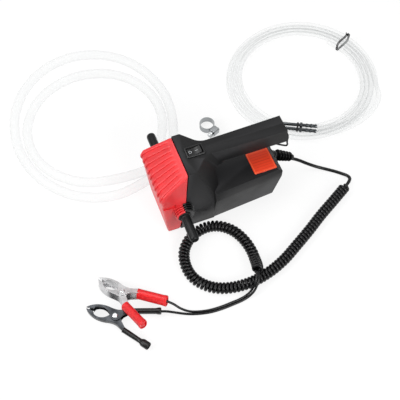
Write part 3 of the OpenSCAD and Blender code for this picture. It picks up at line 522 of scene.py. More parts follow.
def mesh_object(name, work, place=None, degrees=35):
    """An object from a bmesh in millimetres, moved by place; the bmesh is used up."""
    if place is not None:
        bmesh.ops.transform(work, matrix=place, verts=work.verts)
    bmesh.ops.scale(work, vec=(MM, MM, MM), verts=work.verts)
    bmesh.ops.recalc_face_normals(work, faces=work.faces)
    mesh = bpy.data.meshes.new(name)
    work.to_mesh(mesh)
    work.free()
    smooth(mesh, degrees)
    return bpy.data.objects.new(name, mesh)


def add_modifier(obj, kind, **settings):
    """A modifier with its settings."""
    made = obj.modifiers.new(kind.title(), kind)
    for name, value in settings.items():
        setattr(made, name, value)
    return made


def bake(obj):
    """Turns an object's modifiers into its mesh."""
    if obj.name not in scene.collection.objects:
        scene.collection.objects.link(obj)
    bpy.context.view_layer.update()
    shape = bpy.data.meshes.new_from_object(
        obj.evaluated_get(bpy.context.evaluated_depsgraph_get()))
    obj.modifiers.clear()
    old, obj.data = obj.data, shape
    bpy.data.meshes.remove(old)
    return obj


def cut(target, tools, operation="DIFFERENCE"):
    """Exact boolean of the target with each tool, which is then removed."""
    for tool in tools:
        if tool.name not in scene.collection.objects:
            scene.collection.objects.link(tool)
        add_modifier(target, "BOOLEAN", operation=operation, solver="EXACT", object=tool)
        bake(target)
        bpy.data.objects.remove(tool)
    return target


# %% [markdown]
# Most pieces start as one of a few plain shapes: rings joined by a skin, a profile turned on
# a lathe, an outline raised into a slab, or a box that planes carve.

# %% Plain shapes
def skin(rings, closed=True, ends=True):
    """A bmesh through rings of points that have the same count."""
    work = bmesh.new()
    rows = [[work.verts.new(point) for point in ring] for ring in rings]
    count = len(rings[0])
    for a, b in zip(rows, rows[1:]):
        for k in range(count if closed else count - 1):
            m = (k + 1) % count
            work.faces.new((a[k], a[m], b[m], b[k]))
    if ends:
        work.faces.new(list(reversed(rows[0])))
        work.faces.new(rows[-1])
    return work


def lathe(profile, sides=40):
    """A bmesh turned about Z from (radius, height) points; the profile is a closed loop."""
    rings = []
    for k in range(sides + 1):
        angle = 2 * math.pi * k / sides
        rings.append([(r * math.cos(angle), r * math.sin(angle), h) for r, h in profile])
    work = skin(rings, closed=True, ends=False)
    bmesh.ops.remove_doubles(work, verts=work.verts, dist=1e-5)
    bmesh.ops.dissolve_degenerate(work, edges=work.edges, dist=1e-6)
    return work


def slab(outline, low, high):
    """A bmesh of an (x, y) outline between two heights."""
    work = bmesh.new()
    base = work.faces.new([work.verts.new((x, y, low)) for x, y in outline])
    made = bmesh.ops.extrude_face_region(work, geom=[base])
    lifted = [item for item in made["geom"] if isinstance(item, bmesh.types.BMVert)]
    bmesh.ops.translate(work, vec=(0, 0, high - low), verts=lifted)
    return work


def box(low, high):
    """A bmesh box between two corners; used as a cutter and as a start for carving."""
    work = bmesh.new()
    bmesh.ops.create_cube(work, size=1)
    middle = [(a + b) / 2 for a, b in zip(low, high)]
    bmesh.ops.scale(work, vec=[b - a for a, b in zip(low, high)], verts=work.verts)
    bmesh.ops.translate(work, vec=middle, verts=work.verts)
    return work


def carve(work, planes):
    """Keeps what lies behind every (point, outward normal) plane, and closes each cut."""
    for point, normal in planes:
        made = bmesh.ops.bisect_plane(work, geom=work.verts[:] + work.edges[:] + work.faces[:],
                                      plane_co=point, plane_no=normal, clear_outer=True,
                                      dist=1e-5)
        edges = [item for item in made["geom_cut"] if isinstance(item, bmesh.types.BMEdge)]
        if edges:
            bmesh.ops.contextual_create(work, geom=edges)
    bmesh.ops.remove_doubles(work, verts=work.verts, dist=1e-4)
    return work


def plane_through(a, b, c, outside):
    """(point, normal) of the plane through three points that looks towards outside."""
    a, b, c = Vector(a), Vector(b), Vector(c)
    normal = (b - a).cross(c - a).normalized()
    if normal.dot(Vector(outside) - a) < 0:
        normal = -normal
    return a, normal


def both_sides(planes):
    """The planes given and their mirror images across the middle plane."""
    mirrored = [(Vector((p[0], -p[1], p[2])), Vector((n[0], -n[1], n[2]))) for p, n in planes]
    return list(planes) + mirrored


# %% [markdown]
# Cords, hoses and bent wires are round wires along a smooth curve through a few points.

# %% Curves and wires
def spline_through(points, step):
    """Points a step apart on a smooth curve through the given ones (centripetal)."""
    knots = [Vector(p) for p in points]
    knots = [2 * knots[0] - knots[1]] + knots + [2 * knots[-1] - knots[-2]]
    fine = []
    for p0, p1, p2, p3 in zip(knots, knots[1:], knots[2:], knots[3:]):
        t1 = max((p1 - p0).length, 1e-6) ** 0.5
        t2 = t1 + max((p2 - p1).length, 1e-6) ** 0.5
        t3 = t2 + max((p3 - p2).length, 1e-6) ** 0.5
        pieces = max(4, int((p2 - p1).length / step * 2))
        for k in range(pieces):
            t = t1 + (t2 - t1) * k / pieces
            a1 = p0 * (t1 - t) / t1 + p1 * t / t1
            a2 = p1 * (t2 - t) / (t2 - t1) + p2 * (t - t1) / (t2 - t1)
            a3 = p2 * (t3 - t) / (t3 - t2) + p3 * (t - t2) / (t3 - t2)
            b1 = a1 * (t2 - t) / t2 + a2 * t / t2
            b2 = a2 * (t3 - t) / (t3 - t1) + a3 * (t - t1) / (t3 - t1)
            fine.append(b1 * (t2 - t) / (t2 - t1) + b2 * (t - t1) / (t2 - t1))
    fine.append(knots[-2])
    return evenly(fine, step)


def evenly(points, step):
    """The same path with points a step apart."""
    total = path_length(points)
    count = max(2, round(total / step))
    spots, along, index = [points[0]], 0.0, 0
    for k in range(1, count):
        goal = total * k / count
        while along + (points[index + 1] - points[index]).length < goal:
            along += (points[index + 1] - points[index]).length
            index += 1
        part = (goal - along) / (points[index + 1] - points[index]).length
        spots.append(points[index].lerp(points[index + 1], part))
    spots.append(points[-1])
    return spots


def path_length(points):
    """Length along a list of points."""
    return sum((b - a).length for a, b in zip(points, points[1:]))


def wire(name, points, diameter, resolution=4, slim=None):
    """A round wire: a curve of one open spline through points in millimetres. From the point
    numbered slim[0] on, it thins to the share slim[1] of its diameter."""
    curve = bpy.data.curves.new(name, "CURVE")
    curve.dimensions = "3D"
    curve.bevel_depth = diameter / 2 * MM
    curve.bevel_resolution = resolution
    curve.use_fill_caps = True
    spline = curve.splines.new("POLY")
    spline.points.add(len(points) - 1)
    for index, (spot, point) in enumerate(zip(spline.points, points)):
        spot.co = (*(Vector(point) * MM), 1)
        if slim and index >= slim[0]:
            spot.radius = slim[1]
    return bpy.data.objects.new(name, curve)


# %% [markdown]
# **The supply cord.** A thin cable leaves the strain relief, lies on the table, and winds up
# into a long curly cord, about 13 mm across, of 4 mm wire. How many turns it has is a guess
# from its pitch. After the curl the two leads run as one
# flat cable to the clamps, where they part. The whole run to the red clamp is one spline, and
# the short black lead is a second. The route repeats the one in the CAD source.

# %% Supply cord
CABLE_D = 4.0
CURL_PITCH = 4.3
CURL_R = 4.7
RAMP_IN = 5.5
RAMP_OUT = 6.0
LEAD_D = 2.7
CURL_Z = 6.7
RELIEF_TIP = (95.6, 0.0, 23.8)
CABLE_ROUTE = [(85.8, 0, 30.7), RELIEF_TIP, (102, -2.2, 21.4), (108.5, -4.2, 17.6),
               (117.5, -7.8, 11.5), (126.9, -11.8, 6), (134.9, -15.8, 3), (142, -20.4, 2),
               (149, -26, 2), (155.5, -32, 2), (159.6, -37, 2.8), (160.2, -41.8, 4),
               (156.5, -46.4, 5.4), (151, -50.5, CURL_Z)]
CURL_LYING = [(151, -50.5), (128, -63.6), (104, -77), (83, -90), (62, -102), (40, -114),
              (18, -122), (-6, -126), (-32, -123), (-50, -114), (-62, -99), (-65, -81),
              (-60, -63), (-47, -50), (-30, -44.5), (-14, -47), (0, -58), (8, -74), (10.8, -91)]
CURL_ROUTE = [(x, y, CURL_Z) for x, y in CURL_LYING]
CURL_ROUTE += [(10.2, -101, 7.2), (8.8, -109.5, 10.6), (6.6, -116.5, 14.4), (4, -121.8, 16.8)]
TWIN_ROUTE = [(4, -121.8, 16.8), (1.2, -126.4, 17.2), (-2.4, -130.8, 13.8), (-6.6, -134.2, 8.6),
              (-13, -136.6, 3.6), (-22, -138, 1.5), (-32, -138.6, 1.5), (-45, -139, 1.5),
              (-58, -138.2, 1.5), (-70, -135.6, 1.5), (-80, -131.8, 2.2), (-88, -126.5, 5.5),
              (-94, -121, 10.4), (-101, -115.9, 14.3)]
BLACK_ROUTE = [(5.2, -121.5, 15.6), (3.4, -127.6, 16), (-0.6, -132.8, 12.4),
               (-5.4, -136.7, 7.4), (-12.4, -139.2, 3.1), (-22, -140.7, 1.5),
               (-32, -141.3, 1.4), (-45, -141.7, 1.4),
               (-58, -140.9, 1.4), (-70, -138.3, 1.4), (-80, -135, 1.6), (-88, -131.6, 2.6),
               (-96, -128, 4.6), (-103, -124.8, 6), (-110.2, -122, 6.2)]


def wound(route, radius, pitch, steps):
    """A helix round a route; its turns swell from nothing at both ends, with a longer lead."""
    middle = evenly(spline_through(route, 0.5), 0.5)
    total = path_length(middle)
    up = Vector((0, 0, 1))
    points, along, angle = [], 0.0, 0.0
    while along < total:
        place = along / total * (len(middle) - 1)
        index = min(int(place), len(middle) - 2)
        spot = middle[index].lerp(middle[index + 1], place - index)
        ahead = middle[min(index + 3, len(middle) - 1)] - middle[max(index - 2, 0)]
        side = ahead.cross(up).normalized()
        above = side.cross(ahead).normalized()
        share = min(1.0, along / RAMP_IN, (total - along) / RAMP_OUT)
        swell = share * share * (3 - 2 * share)
        points.append(spot + radius * swell * (math.cos(angle) * side + math.sin(angle) * above))
        angle += 2 * math.pi / steps
        along += pitch * (1 + 3 * (1 - swell)) / steps
    while (points[-1] - middle[-1]).length < CABLE_D / 3:
        points.pop()
    return points + [middle[-1]], round(angle / (2 * math.pi))


curl_points, curl_turns = wound(CURL_ROUTE, CURL_R, CURL_PITCH, 14)
cable_points = spline_through(CABLE_ROUTE, 2.0)
twin_points = spline_through(TWIN_ROUTE, 2.0)
cord_points = cable_points[:-1] + curl_points + twin_points[1:]
twin_start = len(cord_points) - len(twin_points)
supply_cord = settle(wire("supply_cord", cord_points, CABLE_D,
                          slim=(twin_start, LEAD_D / CABLE_D)), cord_pvc,
                     nodes=("straight_cable", "curly_cord", "twin_lead"))
black_points = spline_through(BLACK_ROUTE, 1.5)
black_lead = settle(wire("black_clamp_lead", black_points, LEAD_D), cord_pvc,
                    nodes=("black_lead",))
SUPPLY_LENGTH = path_length(cord_points) * MM
BLACK_LENGTH = path_length(black_points) * MM
print("curly cord:", curl_turns, "turns, supply cord", round(SUPPLY_LENGTH, 3), "m, black lead",
      round(BLACK_LENGTH, 3), "m")


# %% [markdown]
# **The hoses.** The thick hose lies as it fell from its packing: one round turn with a wider,
# looser one outside it, and both its ends behind the pump. The thin hoses are wound into one
# flat coil, one in each layer. A hose keeps its length, so each is one smooth spline whose
# coil is worked out by a loop.

# %% Thick hose
HOSE_D = 12.0
HOSE_AT = (-104, 142)
HOSE_TURN_R = 84.5
LOOP_AT = (-104, 148)
LOOP_R = (98.3, 113.3)


def polar(centre, angle, radius, height):
    """A point round a centre, by its angle in degrees, radius and height."""
    turn = math.radians(angle)
    return (centre[0] + radius * math.cos(turn), centre[1] + radius * math.sin(turn), height)


def oval(angle):
    """A point of the wide loop, by its angle in degrees."""
    turn = math.radians(angle)
    return (LOOP_AT[0] + LOOP_R[0] * math.cos(turn), LOOP_AT[1] + LOOP_R[1] * math.sin(turn),
            HOSE_D / 2)


INNER_TURN = [(-53, 90), (-38, 86.5), (-22, 84.8)]
INNER_TURN += [(angle, HOSE_TURN_R) for angle in range(-8, 268, 15)]
INNER_TURN += [(268, 85.2), (279, 88), (289, 92.4), (299, 97.2), (309, 101), (321, 102.4)]
thick_route = [polar(HOSE_AT, angle, radius, HOSE_D / 2) for angle, radius in INNER_TURN]
thick_route += [oval(angle) for angle in range(-22, 287, 14)]
thick_route += [(-66, 41.5, HOSE_D / 2), (-57, 42.5, HOSE_D / 2)]
thick_points = spline_through(thick_route, 5.0)
thick_hose = settle(wire("thick_clear_hose", thick_points, HOSE_D, 6), thick_pvc,
                    nodes=("thick_hose_coil", "thick_hose_loop"))
THICK_LENGTH = path_length(thick_points) * MM
print("thick hose", round(THICK_LENGTH, 3), "m")


# %% [markdown]
# The thin hoses lie one above the other in the coil. The number of turns is a guess, since
# the photograph doesn't show the strands apart; it puts the inner ends under the tie.

# %% Thin hoses
THIN_D = 6.0
COIL_AT = (171, 117)
COIL_TURNS = 3.17
SPREAD = 6.0
TAIL_Z = 17.1
TAIL_A = [(151, 34, TAIL_Z), (163, 28, TAIL_Z), (176, 25, TAIL_Z), (189, 25.5, TAIL_Z)]
TAIL_B = [(147, 27.5, TAIL_Z), (159, 21, TAIL_Z), (172, 18, TAIL_Z), (186, 18.5, TAIL_Z)]


def layer(start, height, outside, inside):
    """Flat turns that spiral inwards at one height, spread wider on the left."""
    count = int(COIL_TURNS * 24)
    spots = []
    for k in range(count + 1):
        angle = start + 15 * k
        share = k / count
        slack = SPREAD * (1 - share) * max(0.0, math.cos(math.radians(angle - 190))) ** 2
        spots.append(polar(COIL_AT, angle, outside + (inside - outside) * share + slack, height))
    return spots


thin_a = TAIL_A + [polar(COIL_AT, -66, 94, 15), polar(COIL_AT, -54, 95.3, 12)]
thin_a += layer(-42, 10.4, 95.2, 77.6)
thin_b = TAIL_B + [polar(COIL_AT, -68, 100.5, 15), polar(COIL_AT, -54, 100.8, 10),
                   polar(COIL_AT, -38, 101.5, 5.4)]
thin_b += layer(-22, 4.4, 95.6, 77.8)
thin_lengths = []
thin_hoses = []
for name, route, nodes in (("thin_clear_hose_a", thin_a, ("thin_hose_coil",)),
                           ("thin_clear_hose_b", thin_b, ("thin_hose_tails",))):
    points = spline_through(route, 4.0)
    thin_hoses.append(settle(wire(name, points, THIN_D, 5), thin_pvc, nodes=nodes))
    thin_lengths.append(path_length(points) * MM)
print("thin hoses", [round(length, 3) for length in thin_lengths], "m")


# %% [markdown]
# **The case.** The black case is a chunky faceted moulding: a front block with the switch, a
# handle that grows out of it, and a motor housing below. Its flat facets are easiest to get
# by carving: each part starts as a box and is cut by the planes of its faces. The parts are
# then joined, their edges are rounded, and the mould's openings are cut.

# %% Carve the black case
CASE_H = 100.0
DECK_Z = 57.0
JOINT_X = -40.0
JOINT_LEAN = 0.13
WALL_X = -4.0
GRIP_LOW = 79.0
GRIP_HALF = 9.5
TAIL_X = 82.0
EDGE_R = 1.7
BIG_LOW, BIG_HIGH = (-150, -90, 0), (150, 90, 160)
joint_plane = (Vector((JOINT_X, 0, CASE_H)), Vector((-1, 0, JOINT_LEAN)).normalized())
corner_normal = Vector((0.668, 0.645, 0.369)).normalized()
corner_point = Vector((-30, 26, CASE_H))


def block_planes():
    """Faces of the front block."""
    sides = [plane_through((-40, 27, 100), (-9, 34, 48), (-46, 34, 50), (0, 200, 0)),
             plane_through((-53, 31.4, 0), (-11, 31.4, 0), (-28, 35.2, 40), (0, 200, 0)),
             (corner_point, corner_normal)]
    return [joint_plane, (Vector((0, 0, CASE_H)), Vector((0, 0, 1))),
            (Vector((WALL_X, 0, 0)), Vector((1, 0, 0))),
            (Vector((-11.4, 0, 0)), Vector((1, 0, -0.2)).normalized())] + both_sides(sides)


def grip_planes():
    """Faces of the handle."""
    side = plane_through((WALL_X, GRIP_HALF, 80), (TAIL_X, GRIP_HALF + 1.5, 80),
                         (TAIL_X, GRIP_HALF + 1.5, 100), (0, 200, 90))
    return [(Vector((-25, 0, 0)), Vector((-1, 0, 0))),
            (Vector((0, 0, GRIP_LOW)), Vector((0, 0, -1))),
            (Vector((0, 0, CASE_H)), Vector((0, 0, 1))),
            (Vector((TAIL_X - 0.8, 0, CASE_H)), Vector((1, 0, 0.12)).normalized())
            ] + both_sides([side])


def housing_planes():
    """Faces of the motor housing."""
    sides = [plane_through((-12, 35, 57), (66, 29.5, 57), (-12, 37, 44), (0, 200, 50)),
             plane_through((-12, 37, 44), (66, 31.5, 44), (-12, 30.6, 0), (0, 200, 20))]
    return [(Vector((-12, 0, 0)), Vector((-1, 0, 0))),
            (Vector((0, 0, DECK_Z)), Vector((0, 0, 1))),
            (Vector((66, 0, 0)), Vector((1, 0, -0.115)).normalized()),
            plane_through((66.5, 0, 57), (66.5, 9, 57), (71.7, 0, 52), (200, 0, 57))
            ] + both_sides(sides)


def neck_fillet():
    """The hollow curve between the block's slanted corner and the handle's side."""
    radius = 18.0
    turn = math.radians(46)
    along = Vector((0.6946, -0.7194))
    reach = radius * math.tan(turn / 2)
    rings = []
    for z in (CASE_H, GRIP_LOW - 4):
        knee = Vector(((27.5 - 0.369 * z) / 0.668, GRIP_HALF))
        start = knee - along * reach
        centre = Vector((knee.x + reach, GRIP_HALF + radius))
        curve = []
        for k in range(9):
            angle = math.radians(-90) - turn * (1 - k / 8)
            curve.append((centre.x + radius * math.cos(angle),
                          centre.y + radius * math.sin(angle), z))
        rings.append([(start.x - 2, start.y - 3, z)] + curve + [(knee.x + reach + 3, 5, z)])
    return skin(rings)


def carved(name, planes):
    """A carved part as an object, with its edges still sharp."""
    return mesh_object(name, carve(box(BIG_LOW, BIG_HIGH), planes))


case = carved("case_block", block_planes())
near_fillet = mesh_object("near_fillet", neck_fillet(),
                          Matrix.Scale(-1, 4, Vector((0, 1, 0))))
cut(case, [carved("grip", grip_planes()), mesh_object("far_fillet", neck_fillet()),
           near_fillet, carved("housing", housing_planes())], "UNION")
print("case joined:", len(case.data.polygons), "faces")


# %% [markdown]
# The booleans leave slivers and split faces. Faces in one plane are joined first, so that
# only real edges are left to round.

# %% Round the case's edges
def tidy(obj, degrees=1.5):
    """Joins faces that lie in one plane, so that only real edges are left."""
    work = bmesh.new()
    work.from_mesh(obj.data)
    bmesh.ops.remove_doubles(work, verts=work.verts, dist=0.02 * MM)
    bmesh.ops.dissolve_limit(work, angle_limit=math.radians(degrees), verts=work.verts,
                             edges=work.edges)
    work.to_mesh(obj.data)
    work.free()
    return obj


def round_edges(obj, width, degrees=20, segments=3):
    """Rounds every edge sharper than the angle given."""
    add_modifier(obj, "BEVEL", width=width * MM, segments=segments, limit_method="ANGLE",
                 angle_limit=math.radians(degrees), use_clamp_overlap=True)
    return bake(obj)


def flat_shading(obj, degrees=40):
    """Smooth edges between faces that stay flat."""
    smooth(obj.data, degrees)
    add_modifier(obj, "WEIGHTED_NORMAL", keep_sharp=True, weight=80)
    return bake(obj)


round_edges(tidy(case), EDGE_R)
print("case rounded:", len(case.data.polygons), "faces")


# %% [markdown]
# Openings are cut with plain tools: a window for the switch, recesses for the screws, seats
# for the spigots' bosses, and vents by the strain relief. Two vents show in the photograph
# and set the step; that there are five is a guess.

# %% Cut the switch window, vents and screw recesses
SWITCH_X = -23.3
SWITCH_LEN = 21.0
SWITCH_W = 14.0
SPIGOT_X = -51.0
SPIGOT_Z = 46.0
VENT_COUNT = 5
VENT_R = 1.3
SCREWS = [(20, 89.5), (70, 89.5), (-20, 66), (58, 20), (-20, 7)]
to_y = Matrix.Rotation(math.radians(-90), 4, "X")
to_x = Matrix.Rotation(math.radians(90), 4, "Y")


def rod(name, place, radius, length, sides=32):
    """A plain rod along the place's Z, used as a cutter."""
    profile = [(0, 0), (radius, 0), (radius, length), (0, length)]
    return mesh_object(name, lathe(profile, sides), place)


def at(x, y, z):
    """A move to a place in millimetres."""
    return Matrix.Translation((x, y, z))


def boss_seat():
    """A cutter for the seats of both spigots' bosses."""
    return rod("boss_seat", at(SPIGOT_X, -60, SPIGOT_Z) @ to_y, 9.5, 120, 48)


def turned_out(side):
    """The place of what stands on the spigots' axis, its Z outwards to one side."""
    return at(SPIGOT_X, 0, SPIGOT_Z) @ Matrix.Rotation(math.radians(-90 * side), 4, "X")


def hexagon(radius):
    """The outline of a hexagon round the origin."""
    return [(radius * math.cos(math.radians(60 * k)), radius * math.sin(math.radians(60 * k)))
            for k in range(6)]


cutters = [mesh_object("window", box((SWITCH_X - 9.4, -6.2, 92), (SWITCH_X + 9.4, 6.2, 104)))]
cutters += [rod("recess", at(x, 8.6, z) @ to_y, 3.1, 40) for x, z in SCREWS]
cutters.append(boss_seat())
vent_ends = [place_on(POINTS[name], case) for name in ("vent_near", "vent_far")]
vent_step = vent_ends[1][0] - vent_ends[0][0]
for k in range(-1, VENT_COUNT - 1):
    middle = (vent_ends[0][0] + vent_step * k) / MM
    way = vent_ends[0][1].to_track_quat("Z", "Y").to_matrix().to_4x4()
    cutters.append(rod("vent", Matrix.Translation(middle) @ way @ at(0, 0, -5), VENT_R, 8, 20))
print("vents at", [tuple(round(v / MM, 1) for v in end[0]) for end in vent_ends])
cut(case, cutters)
print("case cut:", len(case.data.polygons), "faces")


# %% [markdown]
# The case is two shells that meet on the middle plane, as on any moulded tool. Each shell is
# the outer skin with a turned-in lip where it meets its neighbours, so nothing inside the
# case is filled. The lips' bevels catch the light as a fine seam.

# %% Split the case into its two shells
def open_skin(source, name, planes):
    """A copy of the source cut open along planes, with a lip along each cut."""
    half = bpy.data.objects.new(name, source.data.copy())
    work = bmesh.new()
    work.from_mesh(half.data)
    for point, normal in planes:
        bmesh.ops.bisect_plane(work, geom=work.verts[:] + work.edges[:] + work.faces[:],
                               plane_co=Vector(point) * MM, plane_no=normal,
                               clear_outer=True, dist=1e-6)
    work.to_mesh(half.data)
    work.free()
    add_modifier(half, "SOLIDIFY", thickness=2.2 * MM, offset=-1.0, use_rim_only=True)
    bake(half)
    return flat_shading(half)


SEAM = 0.04
joint_cut = (joint_plane[0] + Vector((0.25, 0, 0)), joint_plane[1])
near_case = settle(open_skin(case, "near_case_shell", [((0, -SEAM, 0), (0, 1, 0)), joint_cut]),
                   black_abs, nodes=("near_shell",))
far_case = settle(open_skin(case, "far_case_shell", [((0, SEAM, 0), (0, -1, 0)), joint_cut]),
                  black_abs, nodes=("far_shell",))
bpy.data.objects.remove(case)
print("shells:", len(near_case.data.polygons), len(far_case.data.polygons), "faces")


# %% [markdown]
# **The red cap.** It slopes down and fans out to the front, with a large soft radius along
# its top front edge and nine raised ribs that run down over that radius. A triangular facet
# drops from the slope to the spigot, and a small step is let into each side below it.

# %% Carve the red cap
CAP_X = -75.0
CAP_TOP = 79.0
CAP_HALF = 35.6
cap_sides = [plane_through((-40, 27, 100), (CAP_X, CAP_HALF, CAP_TOP), (-46.1, 34.5, 53),
                           (0, 200, 60)),
             plane_through((CAP_X, CAP_HALF, CAP_TOP), (-46.1, 34.5, 53), (-60, 31.4, 0),
                           (0, 200, 40))]
slope_plane = plane_through((JOINT_X, 0, 100), (JOINT_X, 9, 100), (CAP_X, 0, CAP_TOP),
                            (-60, 0, 200))
front_plane = plane_through((CAP_X, 0, CAP_TOP), (CAP_X, 9, CAP_TOP), (-68, 0, 0),
                            (-200, 0, 30))
cap_work = carve(box(BIG_LOW, BIG_HIGH),
                 [(joint_plane[0], -joint_plane[1]), slope_plane, front_plane]
                 + both_sides(cap_sides))
long_edge = [edge for edge in cap_work.edges
             if all(vert.co.z > CAP_TOP - 1 and vert.co.x < CAP_X + 1 for vert in edge.verts)]
bmesh.ops.bevel(cap_work, geom=long_edge, offset=6.5, offset_type="OFFSET", segments=7,
                profile=0.5, affect="EDGES")
cap = mesh_object("red_cap", cap_work)
round_edges(tidy(cap, 0.5), 2.4, 24)
notches = []
for side in (-1, 1):
    notches.append(mesh_object("notch", box((-74, min(side * 33.4, side * 42), 57),
                                            (-58.5, max(side * 33.4, side * 42), 63))))
cut(cap, notches)
print("cap:", len(cap.data.polygons), "faces")


# %% [markdown]
# The ribs follow the slope, turn over the front edge's radius and end just below it, and
# spread apart as the cap widens.

# %% Raise the ribs
RIB_COUNT = 9
RIB_W = 2.8
RIB_H = 1.3
slope = math.atan2(100 - CAP_TOP, JOINT_X - CAP_X)


def rib(across):
    """One rib, at a share of the cap's half width from -1 to 1."""
    bend_r = 8.6
    tangent = bend_r * math.tan((math.radians(95) - slope) / 2)
    path, drop = [], math.tan(slope)
    for k in range(9):
        x = JOINT_X - 5.5 - (JOINT_X - 5.5 - CAP_X - tangent * math.cos(slope)) * k / 8
        path.append((Vector((x, 0, 100 + (x - JOINT_X) * drop)), math.pi / 2 + slope))
    hub = path[-1][0] - Vector((math.cos(path[-1][1]), 0, math.sin(path[-1][1]))) * bend_r
    for k in range(1, 9):
        angle = math.pi / 2 + slope + (math.radians(95) - slope) * k / 8
        spot = hub + bend_r * Vector((math.cos(angle), 0, math.sin(angle)))
        path.append((spot, angle))
    for k in range(1, 3):
        path.append((path[-1][0] + Vector((0.09, 0, -1)) * 1.5, path[-1][1]))
    rings = []
    for index, (spot, angle) in enumerate(path):
        out = Vector((math.cos(angle), 0, math.sin(angle)))
        reach = min(1.0, max(0.0, (JOINT_X - spot.x) / (JOINT_X - CAP_X)))
        y = across * (22.5 + 8.6 * reach)
        tall = RIB_H * min(1.0, (index + 0.15) / 1.2, (len(path) - 1 - index + 0.15) / 1.5)
        ring = []
        for share, height in ((-0.5, -0.6), (-0.5, 0.35), (-0.36, 0.85), (-0.12, 1.0),
                              (0.12, 1.0), (0.36, 0.85), (0.5, 0.35), (0.5, -0.6)):
            lift = height * tall if height > 0 else height
            ring.append(spot + out * lift + Vector((0, y + share * RIB_W, 0)))
        rings.append(ring)
    return skin(rings)


ribs = [mesh_object("rib", rib(2 * i / (RIB_COUNT - 1) - 1)) for i in range(RIB_COUNT)]
cut(cap, ribs, "UNION")
cap_seat = [boss_seat()]
cap_seat += [rod("screw_seat", at(-90, y, z) @ to_x, 3.1, 90 - 72.5, 24)
             for y in (-14, 14) for z in (19.75, 72.25)]
cut(cap, cap_seat)
red_cap = settle(open_skin(cap, "red_front_cap",
                           [(joint_plane[0] - Vector((0.1, 0, 0)), -joint_plane[1])]),
                 red_abs, nodes=("front_cap",))
bpy.data.objects.remove(cap)
print("red cap with", RIB_COUNT, "ribs:", len(red_cap.data.polygons), "faces")


# %% [markdown]
# Each spigot stands in a ringed boss that cap and case share: the cap's half is red and the
# case's half is black and wider.

# %% Ringed bosses round the spigots
def boss(name, side, keep, widest, material):
    """The half of one boss that belongs to the cap (keep -1) or to the case (keep 1)."""
    profile = [(6.6, 30), (widest, 30), (widest, 33.2)]
    for ring, foot in enumerate((33.8, 36.1, 38.4, 40.7)):
        crest = widest - 0.55 * ring
        profile += [(crest - 1.7, foot - 0.5), (crest - 1.7, foot), (crest - 0.3, foot + 0.2),
                    (crest, foot + 0.6), (crest, foot + 1.1), (crest - 0.3, foot + 1.5)]
    profile += [(widest - 2.8, 42.6), (6.6, 42.6)]
    work = lathe(profile, 56)
    bmesh.ops.transform(work, matrix=turned_out(side), verts=work.verts)
    carve(work, [(Vector((SPIGOT_X + 0.8 + 0.12 * keep, 0, 0)), Vector((-keep, 0, 0)))])
    return settle(mesh_object(name, work), material)


for side, word in ((-1, "near"), (1, "far")):
    boss(word + "_cap_boss", side, -1, 11.2, red_abs)
    boss(word + "_case_boss", side, 1, 13.4, switch_abs)
print("bosses: 2 on the cap, 2 on the case")


# %% [markdown]
# **Spigots.** Each spigot is a moulded nylon tube with a rounded tip, a collar in its boss
# and a black rubber ring at its foot. It is a turned shape, so a lathe makes it.

# %% Spigots and their rings
SPIGOT_PROFILE = [(3, 19), (6.4, 19), (6.4, 41.8), (5.5, 42.2), (5.5, 44.3), (5.3, 44.6),
                  (5.3, 46), (5.3, 71.4), (5.1, 72.8), (4.6, 74.2), (3.8, 74.9), (3.3, 75),
                  (3.0, 74.7)]
RING_PROFILE = [(5.65, 41.6), (6.9, 41.6), (7.35, 42.0), (7.45, 42.9), (7.35, 43.7),
                (6.9, 44.1), (5.65, 44.1)]
for side, word in ((-1, "near"), (1, "far")):
    place = turned_out(side)
    tube = mesh_object(word + "_hose_spigot", lathe(SPIGOT_PROFILE, 44), place, 50)
    settle(tube, spigot_nylon, nodes=(word + "_spigot",))
    ring = mesh_object(word + "_rubber_ring", lathe(RING_PROFILE, 44), place, 70)
    settle(ring, nitrile, nodes=("spigot_rings",) if side < 0 else ())
print("spigots reach", SPIGOT_PROFILE[-1][1], "mm from the middle")


# %% [markdown]
# **The rocker switch.** A snap-in switch has a thin bezel with rounded corners and a rocker
# that dips towards its pressed end. Its ring and bar are the usual marks for off and on,
# printed in white; they are thin curves laid on the rocker.

# %% Rocker switch
ROCKER_Z = 98.4
TILT = math.radians(7)


def round_rect(length, width, radius, steps=5):
    """Corner points of a rounded rectangle round the origin."""
    points = []
    for sx, sy, start in ((1, 1, 0), (-1, 1, 90), (-1, -1, 180), (1, -1, 270)):
        for k in range(steps + 1):
            angle = math.radians(start + 90 * k / steps)
            points.append((sx * (length / 2 - radius) + radius * math.cos(angle),
                           sy * (width / 2 - radius) + radius * math.sin(angle)))
    return points


bezel_rings = []
for length, width, radius, z in ((SWITCH_LEN, SWITCH_W, 1.4, 100.0),
                                 (SWITCH_LEN, SWITCH_W, 1.4, 101.1),
                                 (20.2, 13.2, 1.2, 101.6), (17.6, 10.8, 0.7, 101.6),
                                 (17.0, 10.2, 0.5, 101.1), (16.8, 10.0, 0.5, 93.0),
                                 (19.0, 12.4, 0.5, 93.0), (19.0, 12.4, 0.5, 100.0)):
    bezel_rings.append([(x + SWITCH_X, y, z) for x, y in round_rect(length, width, radius)])
bezel_rings.append(bezel_rings[0])
bezel_work = skin(bezel_rings, ends=False)
bmesh.ops.remove_doubles(bezel_work, verts=bezel_work.verts, dist=1e-4)
settle(mesh_object("switch_bezel", bezel_work, degrees=50), switch_abs,
       nodes=("switch_frame",))

